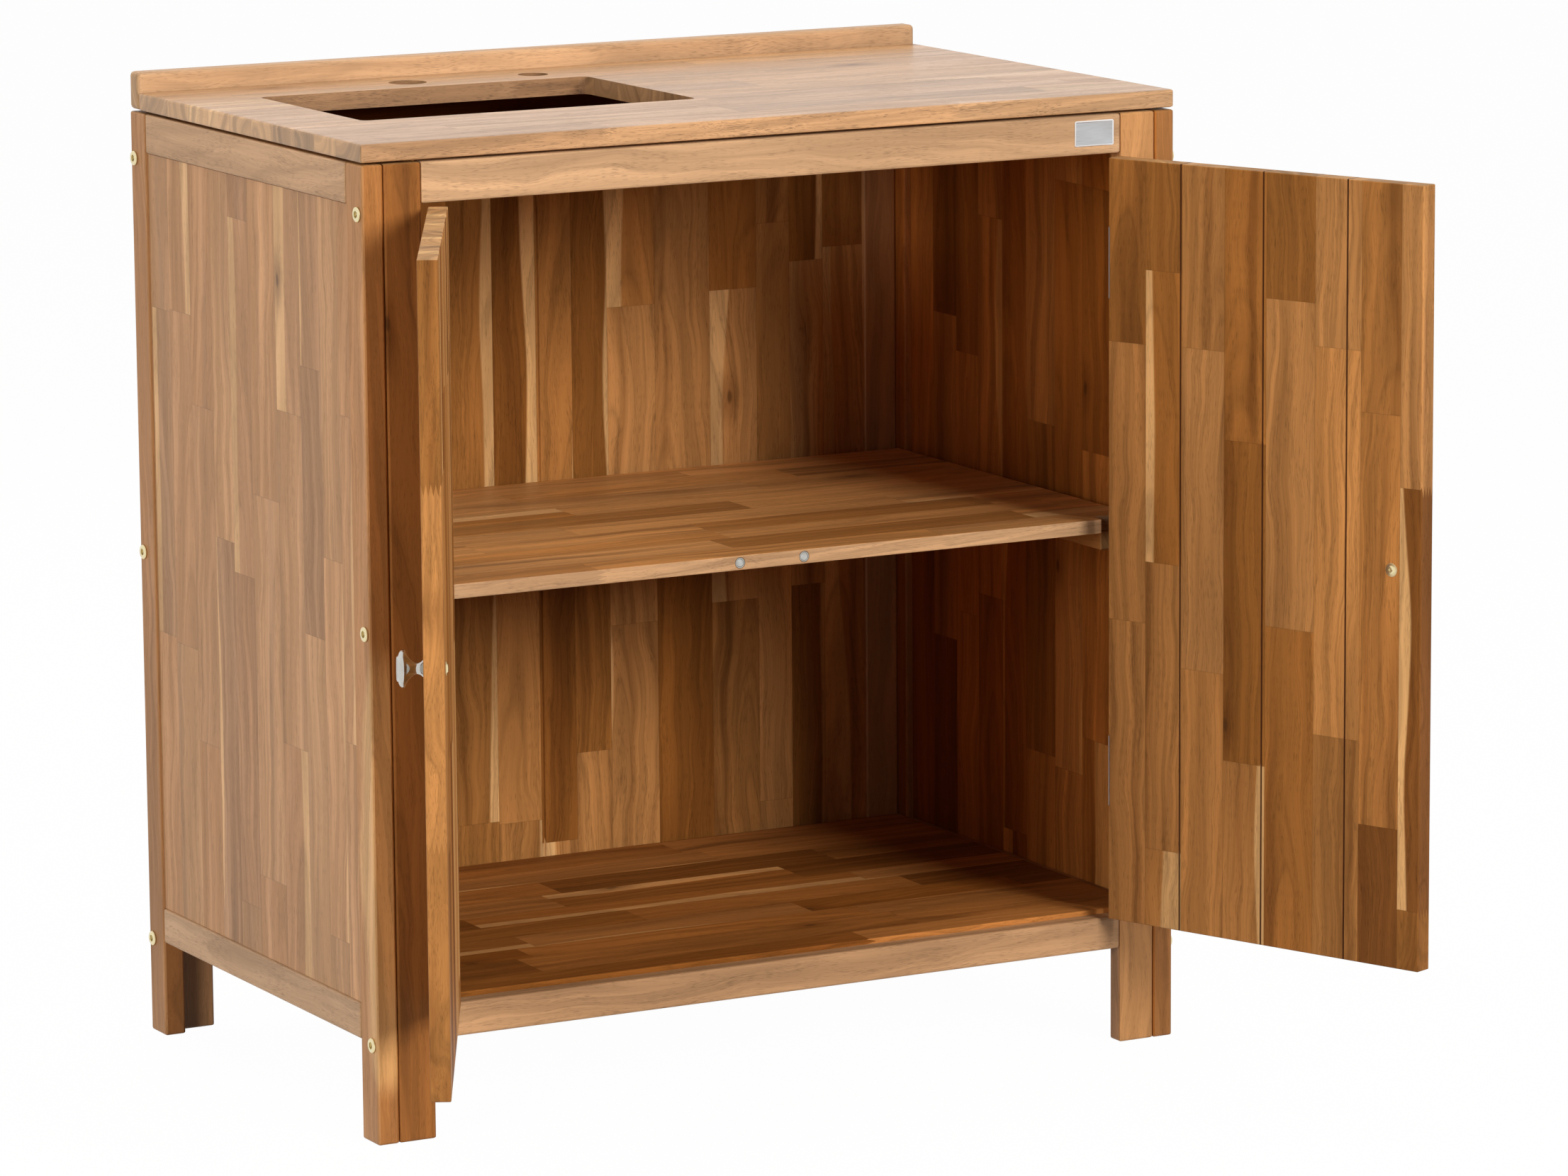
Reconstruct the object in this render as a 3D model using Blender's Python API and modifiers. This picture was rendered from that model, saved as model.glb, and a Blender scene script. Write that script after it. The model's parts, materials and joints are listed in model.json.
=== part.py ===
"""Outdoor sink cabinet: a framed acacia carcass with two inset doors, a shelf and a worktop
that is cut for a bowl and two taps.

Metres, +Z up, front towards -Y. Sizes are measured from the carcass: x = 0 is its middle, y = 0 the
front face of the front frame, z = 0 the floor. The finished model is then moved so that its origin is
the bottom centre of its own box, with the doors standing open.
"""

import bmesh
import bpy
from math import cos, pi, radians, sin
from mathutils import Matrix, Vector

# Carcass
WIDTH = 0.800
DEPTH = 0.492
CARCASS_HEIGHT = 0.850
LEG_CLEAR = 0.088

# Side frames: stiles, rails and panels in the left and right walls
SIDE_THICKNESS = 0.020
SIDE_STILE_WIDTH = 0.033
SIDE_TOP_RAIL = 0.0355
SIDE_BOTTOM_RAIL = 0.032
SIDE_PANEL_RECESS = 0.002

# Front and back frames
FRAME_THICKNESS = 0.018
FRAME_STILE_WIDTH = 0.035
FRAME_TOP_RAIL = 0.0355
FRAME_BOTTOM_RAIL = 0.030
BACK_PANEL_RECESS = 0.004

# Joinery
PANEL_THICKNESS = 0.010
TONGUE_LENGTH = 0.006
TONGUE_THICKNESS = 0.005
TENON_LENGTH = 0.015
TENON_THICKNESS = 0.006
TENON_SHOULDER = 0.005
EDGE_ROUND = 0.002
SEAT = 0.0003

# Worktop and upstand
TOP_GAP = 0.002
TOP_THICKNESS = 0.016
UPSTAND_THICKNESS = 0.020
UPSTAND_HEIGHT = 0.034
UPSTAND_ROUND = 0.004
CUTOUT_WIDTH = 0.327
CUTOUT_DEPTH = 0.219
CUTOUT_FROM_LEFT = 0.077
CUTOUT_FROM_BACK = 0.112
CUTOUT_CORNER = 0.008
TAP_HOLE_RADIUS = 0.0175
TAP_HOLE_FROM_LEFT = 0.243
HOSE_HOLE_RADIUS = 0.014
HOSE_HOLE_FROM_LEFT = 0.370
HOLES_FROM_BACK = 0.0715

# Shelf, floor panel and the cleats that carry them
SHELF_UNDERSIDE = 0.468
SHELF_THICKNESS = 0.013
SHELF_BACK_GAP = 0.005
FLOOR_THICKNESS = 0.013
FLOOR_STEP = 0.004
BOARD_END_GAP = 0.001
SHELF_NOTCH_INSET = 0.008
CLEAT_WIDTH = 0.035
CLEAT_HEIGHT = 0.018
CLEAT_END_GAP = 0.0015
CLEAT_ROUND = 0.001

# Doors
DOOR_THICKNESS = 0.017
DOOR_GAP = 0.002
DOOR_MEETING_GAP = 0.002
DOOR_BOARD_WIDTH = 0.0905
DOOR_ROUND = 0.001
VEE_RADIUS = 0.0011
LEFT_DOOR_OPEN = radians(117.1)
RIGHT_DOOR_OPEN = radians(111.4)

# Butt hinges
HINGE_LENGTH = 0.064
HINGE_FROM_TOP = 0.062
HINGE_FROM_BOTTOM = 0.105
LEAF_WIDTH = 0.017
LEAF_THICKNESS = 0.0015
KNUCKLE_RADIUS = 0.003
KNUCKLE_GAP = 0.0003
KNUCKLES = 5
PIN_RADIUS = 0.00125
PIN_RUNNING_GAP = 0.0003

# Knobs and the screws that hold them
KNOB_FROM_EDGE = 0.031
KNOB_RADIUS = 0.0157
KNOB_LENGTH = 0.0225
KNOB_RIM = 0.0065
KNOB_FACE_RADIUS = 0.0105
KNOB_NECK_RADIUS = 0.0046
KNOB_NECK_FROM_DOOR = 0.0055
KNOB_BASE_RADIUS = 0.00725
SCREW_RADIUS = 0.002
SCREW_HOLE_GAP = 0.0003
SCREW_INTO_KNOB = 0.008
WASHER_RADIUS = 0.006
WASHER_THICKNESS = 0.001
SCREW_HEAD_RADIUS = 0.0038
SCREW_HEAD_HEIGHT = 0.0013
CATCH_GAP = 0.0004

# Magnets in the shelf's front edge
MAGNET_RADIUS = 0.0048
MAGNET_LENGTH = 0.008

# Connector bolts through the side stiles
BOLT_RADIUS = 0.003
BOLT_HOLE_GAP = 0.0003
BOLT_HEAD_RADIUS = 0.0066
BOLT_HEAD_HEIGHT = 0.002
BOLT_INTO_FRAME = 0.025
BOLT_SOCKET_RADIUS = 0.0029
BOLT_SOCKET_DEPTH = 0.0016
BOLT_BELOW_TOP = 0.042
BOLT_ABOVE_FLOOR = 0.0875

# Facets of round pieces
BOLT_SIDES = 16
HINGE_SIDES = 16
KNOB_SIDES = 24
HOLE_SIDES = 32
CORNER_STEPS = 4

# Places that follow from the sizes above
OUTER = WIDTH / 2
INNER = OUTER - SIDE_THICKNESS
OPENING = INNER - SEAT - FRAME_STILE_WIDTH
SIDE_PANEL_FACE = OUTER - SIDE_PANEL_RECESS
SIDE_PANEL_BACK = SIDE_PANEL_FACE - PANEL_THICKNESS
BACK_FRAME = DEPTH - FRAME_THICKNESS
FRONT_RAIL_TOP = LEG_CLEAR + FRAME_BOTTOM_RAIL
FRONT_RAIL_UNDER = CARCASS_HEIGHT - FRAME_TOP_RAIL
TOP_UNDERSIDE = CARCASS_HEIGHT + TOP_GAP
FLOOR_TOP = FRONT_RAIL_TOP + FLOOR_STEP
FLOOR_UNDERSIDE = FLOOR_TOP - FLOOR_THICKNESS
DOOR_LOW = FRONT_RAIL_TOP + DOOR_GAP
DOOR_HIGH = FRONT_RAIL_UNDER - DOOR_GAP
PIN_X = OPENING - DOOR_GAP / 2
PIN_Y = -(KNUCKLE_RADIUS + SEAT)
HINGE_LOWS = (DOOR_LOW + HINGE_FROM_BOTTOM, DOOR_HIGH - HINGE_FROM_TOP - HINGE_LENGTH)
KNOB_X = DOOR_MEETING_GAP / 2 + KNOB_FROM_EDGE
KNOB_Z = SHELF_UNDERSIDE + SHELF_THICKNESS / 2
SCREW_PROUD = SEAT + WASHER_THICKNESS + SCREW_HEAD_HEIGHT
SHELF_FRONT = DOOR_THICKNESS + SCREW_PROUD + CATCH_GAP
BOLT_HEIGHTS = (BOLT_ABOVE_FLOOR, (BOLT_ABOVE_FLOOR + CARCASS_HEIGHT - BOLT_BELOW_TOP) / 2,
                CARCASS_HEIGHT - BOLT_BELOW_TOP)
LEFT, RIGHT = -1, 1
SIDE_NAMES = {LEFT: "left", RIGHT: "right"}

# Finishes: sRGB colour, roughness, metallic
FINISHES = {
    "acacia_frame": ("B8895A", 0.55, 0.0),
    "acacia_panel": ("A9784A", 0.55, 0.0),
    "acacia_door": ("9C6B3C", 0.55, 0.0),
    "acacia_top": ("C7A682", 0.50, 0.0),
    "acacia_inside": ("8A5A30", 0.60, 0.0),
    "chrome": ("D9D9D6", 0.12, 1.0),
    "brassed_steel": ("D2B46C", 0.30, 1.0),
    "zinced_steel": ("A9A39A", 0.35, 1.0),
    "nickel": ("C4C2BC", 0.30, 1.0),
}


def linear_colour(hex_colour):
    """Turn an sRGB hex colour into linear red, green, blue and alpha."""
    channels = [int(hex_colour[i:i + 2], 16) / 255 for i in (0, 2, 4)]
    lit = [c / 12.92 if c <= 0.04045 else ((c + 0.055) / 1.055) ** 2.4 for c in channels]
    return (*lit, 1.0)


def make_finish(name):
    """Make one Principled material from the table of finishes."""
    colour, roughness, metallic = FINISHES[name]
    material = bpy.data.materials.new(name)
    material.use_nodes = True
    shader = material.node_tree.nodes["Principled BSDF"]
    shader.inputs["Base Color"].default_value = linear_colour(colour)
    shader.inputs["Roughness"].default_value = roughness
    shader.inputs["Metallic"].default_value = metallic
    return material


def clear_scene():
    """Start from an empty scene."""
    for obj in list(bpy.data.objects):
        bpy.data.objects.remove(obj, do_unlink=True)


def make_collection(name):
    """Add a collection to the scene."""
    collection = bpy.data.collections.new(name)
    bpy.context.scene.collection.children.link(collection)
    return collection


def make_empty(name, parent=None, location=(0, 0, 0), turn=0.0):
    """Add an empty that carries other objects, turned about Z."""
    empty = bpy.data.objects.new(name, None)
    PARTS.objects.link(empty)
    empty.parent = parent
    empty.location = location
    empty.rotation_euler = (0, 0, turn)
    return empty


def ordered(a, b):
    """Return two coordinates, low first."""
    return (min(a, b), max(a, b))


def across(side, near, far):
    """Return the x range between two distances from the middle, on the left or the right."""
    return ordered(side * near, side * far)


def add_box(bm, x, y, z):
    """Add a closed box between low and high corners given as ranges."""
    made = bmesh.ops.create_cube(bm, size=1.0)["verts"]
    bmesh.ops.scale(bm, vec=(x[1] - x[0], y[1] - y[0], z[1] - z[0]), verts=made)
    bmesh.ops.translate(bm, vec=(sum(x) / 2, sum(y) / 2, sum(z) / 2), verts=made)
    return made


def add_rod(bm, start, end, radius, sides):
    """Add a closed rod between two points."""
    start, end = Vector(start), Vector(end)
    run = end - start
    place = Matrix.Translation((start + end) / 2) @ run.to_track_quat("Z", "Y").to_matrix().to_4x4()
    bmesh.ops.create_cone(bm, cap_ends=True, segments=sides, radius1=radius, radius2=radius,
                          depth=run.length, matrix=place)


def bmesh_to_mesh(bm, name):
    """Store a bmesh as a new mesh."""
    mesh = bpy.data.meshes.new(name)
    bm.to_mesh(mesh)
    bm.free()
    return mesh


def place_part(name, mesh, finish, parent, location=(0, 0, 0), rotation=(0, 0, 0)):
    """Add a named part that carries the given finish."""
    obj = bpy.data.objects.new(name, mesh)
    PARTS.objects.link(obj)
    obj.parent = parent
    obj.location = location
    obj.rotation_euler = rotation
    if not mesh.materials:
        mesh.materials.append(MATERIALS[finish])
    return obj


def place_cutter(name, mesh, parent):
    """Add a shape that only cuts or joins other shapes."""
    obj = bpy.data.objects.new(name, mesh)
    CUTTERS.objects.link(obj)
    obj.parent = parent
    obj.hide_render = True
    obj.display_type = "WIRE"
    return obj


def soften(obj, width, segments=2):
    """Round the edges of a piece."""
    bevel = obj.modifiers.new("round", "BEVEL")
    bevel.width = width
    bevel.segments = segments
    bevel.limit_method = "ANGLE"
    bevel.use_clamp_overlap = True


def combine(obj, other, operation):
    """Cut another shape out of a piece, or join it on."""
    boolean = obj.modifiers.new(operation.lower(), "BOOLEAN")
    boolean.operation = operation
    boolean.object = other
    boolean.solver = "EXACT"


def board(name, x, y, z, finish, parent, round_over=EDGE_ROUND, segments=2):
    """Make one sawn board with rounded edges, its origin at its centre."""
    centre = Vector((sum(x) / 2, sum(y) / 2, sum(z) / 2))
    bm = bmesh.new()
    made = add_box(bm, x, y, z)
    bmesh.ops.translate(bm, vec=-centre, verts=made)
    obj = place_part(name, bmesh_to_mesh(bm, name), finish, parent, centre)
    soften(obj, round_over, segments)
    return obj


def carve(obj, boxes=(), rods=()):
    """Cut boxes and round holes, which don't meet each other, out of a piece."""
    bm = bmesh.new()
    for x, y, z in boxes:
        add_box(bm, x, y, z)
    for start, end, radius, sides in rods:
        add_rod(bm, start, end, radius, sides)
    name = obj.name + "_cut"
    combine(obj, place_cutter(name, bmesh_to_mesh(bm, name), obj.parent), "DIFFERENCE")


def extend(obj, x, y, z):
    """Join a box, such as a pair of tenons, onto a piece that it runs through."""
    bm = bmesh.new()
    add_box(bm, x, y, z)
    name = obj.name + "_tenons"
    combine(obj, place_cutter(name, bmesh_to_mesh(bm, name), obj.parent), "UNION")


def baked_mesh(obj, name):
    """Turn an object with its modifiers into a plain mesh, and remove the object."""
    bpy.context.view_layer.update()
    depsgraph = bpy.context.evaluated_depsgraph_get()
    mesh = bpy.data.meshes.new_from_object(obj.evaluated_get(depsgraph))
    mesh.name = name
    bpy.data.objects.remove(obj, do_unlink=True)
    return mesh


def turned_mesh(name, profile, sides, closed=False):
    """Turn a profile of (radius, height) points, listed from top to bottom, about Z."""
    bm = bmesh.new()
    points = [bm.verts.new((radius, 0, height)) for radius, height in profile]
    for upper, lower in zip(points, points[1:]):
        bm.edges.new((upper, lower))
    if closed:
        bm.edges.new((points[-1], points[0]))
    obj = bpy.data.objects.new(name, bmesh_to_mesh(bm, name + "_profile"))
    CUTTERS.objects.link(obj)
    screw = obj.modifiers.new("turn", "SCREW")
    screw.axis = "Z"
    screw.steps = sides
    screw.render_steps = sides
    screw.use_merge_vertices = True
    screw.merge_threshold = 0.00001
    mesh = baked_mesh(obj, name)
    mesh.shade_smooth()
    mesh.set_sharp_from_angle(angle=radians(35))
    return mesh


def side_frame(side, root):
    """Make one side wall: two stiles, two rails and a panel that sits in their grooves."""
    label = SIDE_NAMES[side]
    whole = across(side, INNER, OUTER)
    tongue_face = SIDE_PANEL_BACK + TONGUE_THICKNESS
    tongue = across(side, SIDE_PANEL_BACK, tongue_face)
    groove = across(side, SIDE_PANEL_BACK - SEAT, tongue_face + SEAT)
    tenon_low = LEG_CLEAR + TENON_SHOULDER
    tenon_high = CARCASS_HEIGHT - TENON_SHOULDER
    rear = DEPTH - SIDE_STILE_WIDTH
    bolt_depth = FRAME_THICKNESS / 2

    stiles = (("front", (0, SIDE_STILE_WIDTH), (SIDE_STILE_WIDTH - TONGUE_LENGTH, SIDE_STILE_WIDTH + SEAT),
               bolt_depth),
              ("rear", (rear, DEPTH), (rear - SEAT, rear + TONGUE_LENGTH), DEPTH - bolt_depth))
    for place, y, groove_y, bolt_y in stiles:
        stile = board(f"{label}_side_{place}_stile", whole, y, (0, CARCASS_HEIGHT), "acacia_frame", root)
        holes = [((side * (INNER - SEAT), bolt_y, z), (side * (OUTER + SEAT), bolt_y, z),
                  BOLT_RADIUS + BOLT_HOLE_GAP, BOLT_SIDES) for z in BOLT_HEIGHTS]
        carve(stile, [(groove, groove_y, (tenon_low - SEAT, tenon_high + SEAT))], holes)

    run = (SIDE_STILE_WIDTH + SEAT, rear - SEAT)
    tenons = (run[0] - TONGUE_LENGTH + 2 * SEAT, run[1] + TONGUE_LENGTH - 2 * SEAT)
    bottom_top = LEG_CLEAR + SIDE_BOTTOM_RAIL
    top_under = CARCASS_HEIGHT - SIDE_TOP_RAIL
    groove_run = (tenons[0] - SEAT, tenons[1] + SEAT)

    top = board(f"{label}_side_top_rail", whole, run, (top_under, CARCASS_HEIGHT), "acacia_frame", root)
    extend(top, tongue, tenons, (top_under + TONGUE_LENGTH + 2 * SEAT, tenon_high))
    carve(top, [(groove, groove_run, (top_under - SEAT, top_under + TONGUE_LENGTH))])
    bottom = board(f"{label}_side_bottom_rail", whole, run, (LEG_CLEAR, bottom_top), "acacia_frame", root)
    extend(bottom, tongue, tenons, (tenon_low, bottom_top - TONGUE_LENGTH - 2 * SEAT))
    carve(bottom, [(groove, groove_run, (bottom_top - TONGUE_LENGTH, bottom_top + SEAT))])

    body_z = (bottom_top + SEAT, top_under - SEAT)
    tongue_z = (body_z[0] - TONGUE_LENGTH + SEAT, body_z[1] + TONGUE_LENGTH - SEAT)
    tongue_y = (run[0] - TONGUE_LENGTH + SEAT, run[1] + TONGUE_LENGTH - SEAT)
    panel = board(f"{label}_side_panel", tongue, tongue_y, tongue_z, "acacia_panel", root, SEAT, 1)
    extend(panel, across(side, SIDE_PANEL_BACK, SIDE_PANEL_FACE), run, body_z)


def front_frame(root):
    """Make the front frame: two leg stiles and two rails, tenoned into them."""
    middle = FRAME_THICKNESS / 2
    cheek = TENON_THICKNESS / 2
    rails = (("top", (FRONT_RAIL_UNDER, CARCASS_HEIGHT)), ("bottom", (LEG_CLEAR, FRONT_RAIL_TOP)))
    for side in (LEFT, RIGHT):
        x = across(side, OPENING, INNER - SEAT)
        stile = board(f"front_{SIDE_NAMES[side]}_stile", x, (0, FRAME_THICKNESS), (0, CARCASS_HEIGHT),
                      "acacia_frame", root)
        mortises = [(across(side, OPENING - SEAT, OPENING + TENON_LENGTH),
                     (middle - cheek - SEAT, middle + cheek + SEAT),
                     (z[0] + TENON_SHOULDER - SEAT, z[1] - TENON_SHOULDER + SEAT)) for _, z in rails]
        beds = [(across(side, OPENING - SEAT, OPENING + LEAF_THICKNESS + SEAT),
                 (-SEAT, FRAME_THICKNESS + SEAT), (low - SEAT, low + HINGE_LENGTH + SEAT)) for low in HINGE_LOWS]
        carve(stile, mortises + beds, bolt_bores(side, middle))
    for place, z in rails:
        rail = board(f"front_{place}_rail", (SEAT - OPENING, OPENING - SEAT), (0, FRAME_THICKNESS), z,
                     "acacia_frame", root)
        reach = OPENING + TENON_LENGTH - SEAT
        extend(rail, (-reach, reach), (middle - cheek, middle + cheek),
               (z[0] + TENON_SHOULDER, z[1] - TENON_SHOULDER))


def bolt_bores(side, y):
    """Return the blind holes for the connector bolts in a front or back stile's outer edge."""
    return [((side * (INNER + SEAT), y, z), (side * (INNER - SEAT - BOLT_INTO_FRAME), y, z),
             BOLT_RADIUS + BOLT_HOLE_GAP, BOLT_SIDES) for z in BOLT_HEIGHTS]


def back_frame(root):
    """Make the back frame: two leg stiles, two rails and a panel in their grooves."""
    whole = (BACK_FRAME, DEPTH)
    panel_face = BACK_FRAME + BACK_PANEL_RECESS
    tongue = (panel_face, panel_face + TONGUE_THICKNESS)
    groove = (tongue[0] - SEAT, tongue[1] + SEAT)
    tenon_low = LEG_CLEAR + TENON_SHOULDER
    tenon_high = CARCASS_HEIGHT - TENON_SHOULDER
    under = CARCASS_HEIGHT - FRAME_TOP_RAIL
    for side in (LEFT, RIGHT):
        x = across(side, OPENING, INNER - SEAT)
        stile = board(f"back_{SIDE_NAMES[side]}_stile", x, whole, (0, CARCASS_HEIGHT), "acacia_frame", root)
        carve(stile, [(across(side, OPENING - SEAT, OPENING + TONGUE_LENGTH), groove,
                       (tenon_low - SEAT, tenon_high + SEAT))],
              bolt_bores(side, DEPTH - FRAME_THICKNESS / 2))
    run = (SEAT - OPENING, OPENING - SEAT)
    reach = OPENING + TONGUE_LENGTH - SEAT
    top = board("back_top_rail", run, whole, (under, CARCASS_HEIGHT), "acacia_frame", root)
    extend(top, (-reach, reach), tongue, (under + TONGUE_LENGTH + 2 * SEAT, tenon_high))
    carve(top, [((-reach - SEAT, reach + SEAT), groove, (under - SEAT, under + TONGUE_LENGTH))])
    bottom = board("back_bottom_rail", run, whole, (LEG_CLEAR, FRONT_RAIL_TOP), "acacia_frame", root)
    extend(bottom, (-reach, reach), tongue, (tenon_low, FRONT_RAIL_TOP - TONGUE_LENGTH - 2 * SEAT))
    carve(bottom, [((-reach - SEAT, reach + SEAT), groove,
                    (FRONT_RAIL_TOP - TONGUE_LENGTH, FRONT_RAIL_TOP + SEAT))])
    body_z = (FRONT_RAIL_TOP + SEAT, under - SEAT)
    tongue_z = (body_z[0] - TONGUE_LENGTH + SEAT, body_z[1] + TONGUE_LENGTH - SEAT)
    panel = board("back_panel", (-reach, reach), tongue, tongue_z, "acacia_inside", root, SEAT, 1)
    extend(panel, run, (panel_face, panel_face + PANEL_THICKNESS), body_z)
    cut_vees(panel, [0.0], (panel_face, panel_face + PANEL_THICKNESS), tongue_z)


def cut_vees(obj, places, faces, z):
    """Cut upright V-joints into both faces of a boarded panel."""
    bm = bmesh.new()
    for x in places:
        for y in faces:
            add_rod(bm, (x, y, z[0] - EDGE_ROUND), (x, y, z[1] + EDGE_ROUND), VEE_RADIUS, 4)
    name = obj.name + "_vees"
    combine(obj, place_cutter(name, bmesh_to_mesh(bm, name), obj.parent), "DIFFERENCE")


def worktop(root):
    """Make the worktop with its bowl cut-out and tap holes, and the upstand behind it."""
    top = TOP_UNDERSIDE + TOP_THICKNESS
    back = DEPTH - UPSTAND_THICKNESS
    slab = board("worktop", (-OUTER, OUTER), (0, back - SEAT), (TOP_UNDERSIDE, top), "acacia_top", root)
    through = (TOP_UNDERSIDE - TOP_THICKNESS, top + TOP_THICKNESS)
    left = CUTOUT_FROM_LEFT - OUTER
    rear = DEPTH - CUTOUT_FROM_BACK
    bm = bmesh.new()
    add_box(bm, (left, left + CUTOUT_WIDTH), (rear - CUTOUT_DEPTH, rear), through)
    upright = [e for e in bm.edges if abs(e.verts[0].co.z - e.verts[1].co.z) > TOP_THICKNESS]
    bmesh.ops.bevel(bm, geom=upright, offset=CUTOUT_CORNER, offset_type="OFFSET", segments=CORNER_STEPS,
                    profile=0.5, affect="EDGES")
    holes = ((TAP_HOLE_FROM_LEFT, TAP_HOLE_RADIUS), (HOSE_HOLE_FROM_LEFT, HOSE_HOLE_RADIUS))
    for from_left, radius in holes:
        x, y = from_left - OUTER, DEPTH - HOLES_FROM_BACK
        add_rod(bm, (x, y, through[0]), (x, y, through[1]), radius, HOLE_SIDES)
    combine(slab, place_cutter("worktop_cut", bmesh_to_mesh(bm, "worktop_cut"), root), "DIFFERENCE")
    board("upstand", (-OUTER, OUTER), (back, DEPTH), (TOP_UNDERSIDE, TOP_UNDERSIDE + UPSTAND_HEIGHT),
          "acacia_top", root, UPSTAND_ROUND, 3)


def cleats(root):
    """Make the cleats that carry the shelf, the floor panel and the worktop at each end."""
    front = SIDE_STILE_WIDTH + CLEAT_END_GAP
    y = (front, DEPTH - front)
    places = (("shelf_{}_cleat", SHELF_UNDERSIDE, SIDE_PANEL_BACK),
              ("floor_{}_cleat", FLOOR_UNDERSIDE, INNER),
              ("worktop_{}_batten", TOP_UNDERSIDE, INNER))
    for side in (LEFT, RIGHT):
        for pattern, underside, wall in places:
            x = across(side, INNER - SEAT - CLEAT_WIDTH, wall - SEAT)
            z = (underside - SEAT - CLEAT_HEIGHT, underside - SEAT)
            board(pattern.format(SIDE_NAMES[side]), x, y, z, "acacia_inside", root, CLEAT_ROUND, 1)


def shelf_and_floor(root):
    """Make the shelf, its two magnets and the floor panel."""
    x = (BOARD_END_GAP - INNER, INNER - BOARD_END_GAP)
    shelf = board("shelf", x, (SHELF_FRONT, BACK_FRAME - SHELF_BACK_GAP),
                  (SHELF_UNDERSIDE, SHELF_UNDERSIDE + SHELF_THICKNESS), "acacia_inside", root, CLEAT_ROUND)
    bores = [((side * KNOB_X, SHELF_FRONT - MAGNET_LENGTH, KNOB_Z),
              (side * KNOB_X, SHELF_FRONT + MAGNET_LENGTH + SEAT, KNOB_Z),
              MAGNET_RADIUS + SEAT, BOLT_SIDES) for side in (LEFT, RIGHT)]
    notches = [(across(side, OPENING - SHELF_NOTCH_INSET, INNER), (0, SIDE_STILE_WIDTH + CLEAT_END_GAP),
                (SHELF_UNDERSIDE - SHELF_THICKNESS, SHELF_UNDERSIDE + 2 * SHELF_THICKNESS))
               for side in (LEFT, RIGHT)]
    carve(shelf, notches, bores)
    disc = turned_mesh("magnet", [(0, MAGNET_LENGTH), (MAGNET_RADIUS, MAGNET_LENGTH), (MAGNET_RADIUS, 0),
                                  (0, 0)], BOLT_SIDES)
    for side in (LEFT, RIGHT):
        place_part(f"shelf_{SIDE_NAMES[side]}_magnet", disc, "nickel", root,
                   (side * KNOB_X, SHELF_FRONT + MAGNET_LENGTH, KNOB_Z), (pi / 2, 0, 0))
    board("floor_panel", x, (FRAME_THICKNESS + SEAT, BACK_FRAME - SEAT), (FLOOR_UNDERSIDE, FLOOR_TOP),
          "acacia_inside", root, CLEAT_ROUND)


def connector_bolts(root):
    """Make the twelve socket-head bolts that hold the side walls to the front and back frames."""
    length = SIDE_THICKNESS + BOLT_INTO_FRAME
    rim = BOLT_HEAD_HEIGHT / 4
    profile = [(0, BOLT_HEAD_HEIGHT), (BOLT_HEAD_RADIUS - rim, BOLT_HEAD_HEIGHT),
               (BOLT_HEAD_RADIUS, BOLT_HEAD_HEIGHT - rim), (BOLT_HEAD_RADIUS, 0), (BOLT_RADIUS, 0),
               (BOLT_RADIUS, -length), (0, -length)]
    blank = bpy.data.objects.new("bolt_blank", turned_mesh("bolt_blank", profile, BOLT_SIDES))
    CUTTERS.objects.link(blank)
    bm = bmesh.new()
    add_rod(bm, (0, 0, BOLT_HEAD_HEIGHT - BOLT_SOCKET_DEPTH), (0, 0, 2 * BOLT_HEAD_HEIGHT),
            BOLT_SOCKET_RADIUS, 6)
    combine(blank, place_cutter("bolt_socket", bmesh_to_mesh(bm, "bolt_socket"), None), "DIFFERENCE")
    mesh = baked_mesh(blank, "connector_bolt")
    places = (("front", FRAME_THICKNESS / 2), ("rear", DEPTH - FRAME_THICKNESS / 2))
    for side in (LEFT, RIGHT):
        for place, y in places:
            for level, z in zip(("lower", "middle", "upper"), BOLT_HEIGHTS):
                place_part(f"{SIDE_NAMES[side]}_{place}_{level}_bolt", mesh, "brassed_steel", root,
                           (side * (OUTER + SEAT), y, z), (0, side * pi / 2, 0))


def knuckle_ranges(owned):
    """Return the height ranges of the knuckles that one leaf owns, lowest first."""
    pitch = HINGE_LENGTH / KNUCKLES
    ranges = []
    for index in owned:
        low = 0 if index == 0 else index * pitch + KNUCKLE_GAP / 2
        high = HINGE_LENGTH if index == KNUCKLES - 1 else (index + 1) * pitch - KNUCKLE_GAP / 2
        ranges.append((low, high))
    return ranges


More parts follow.
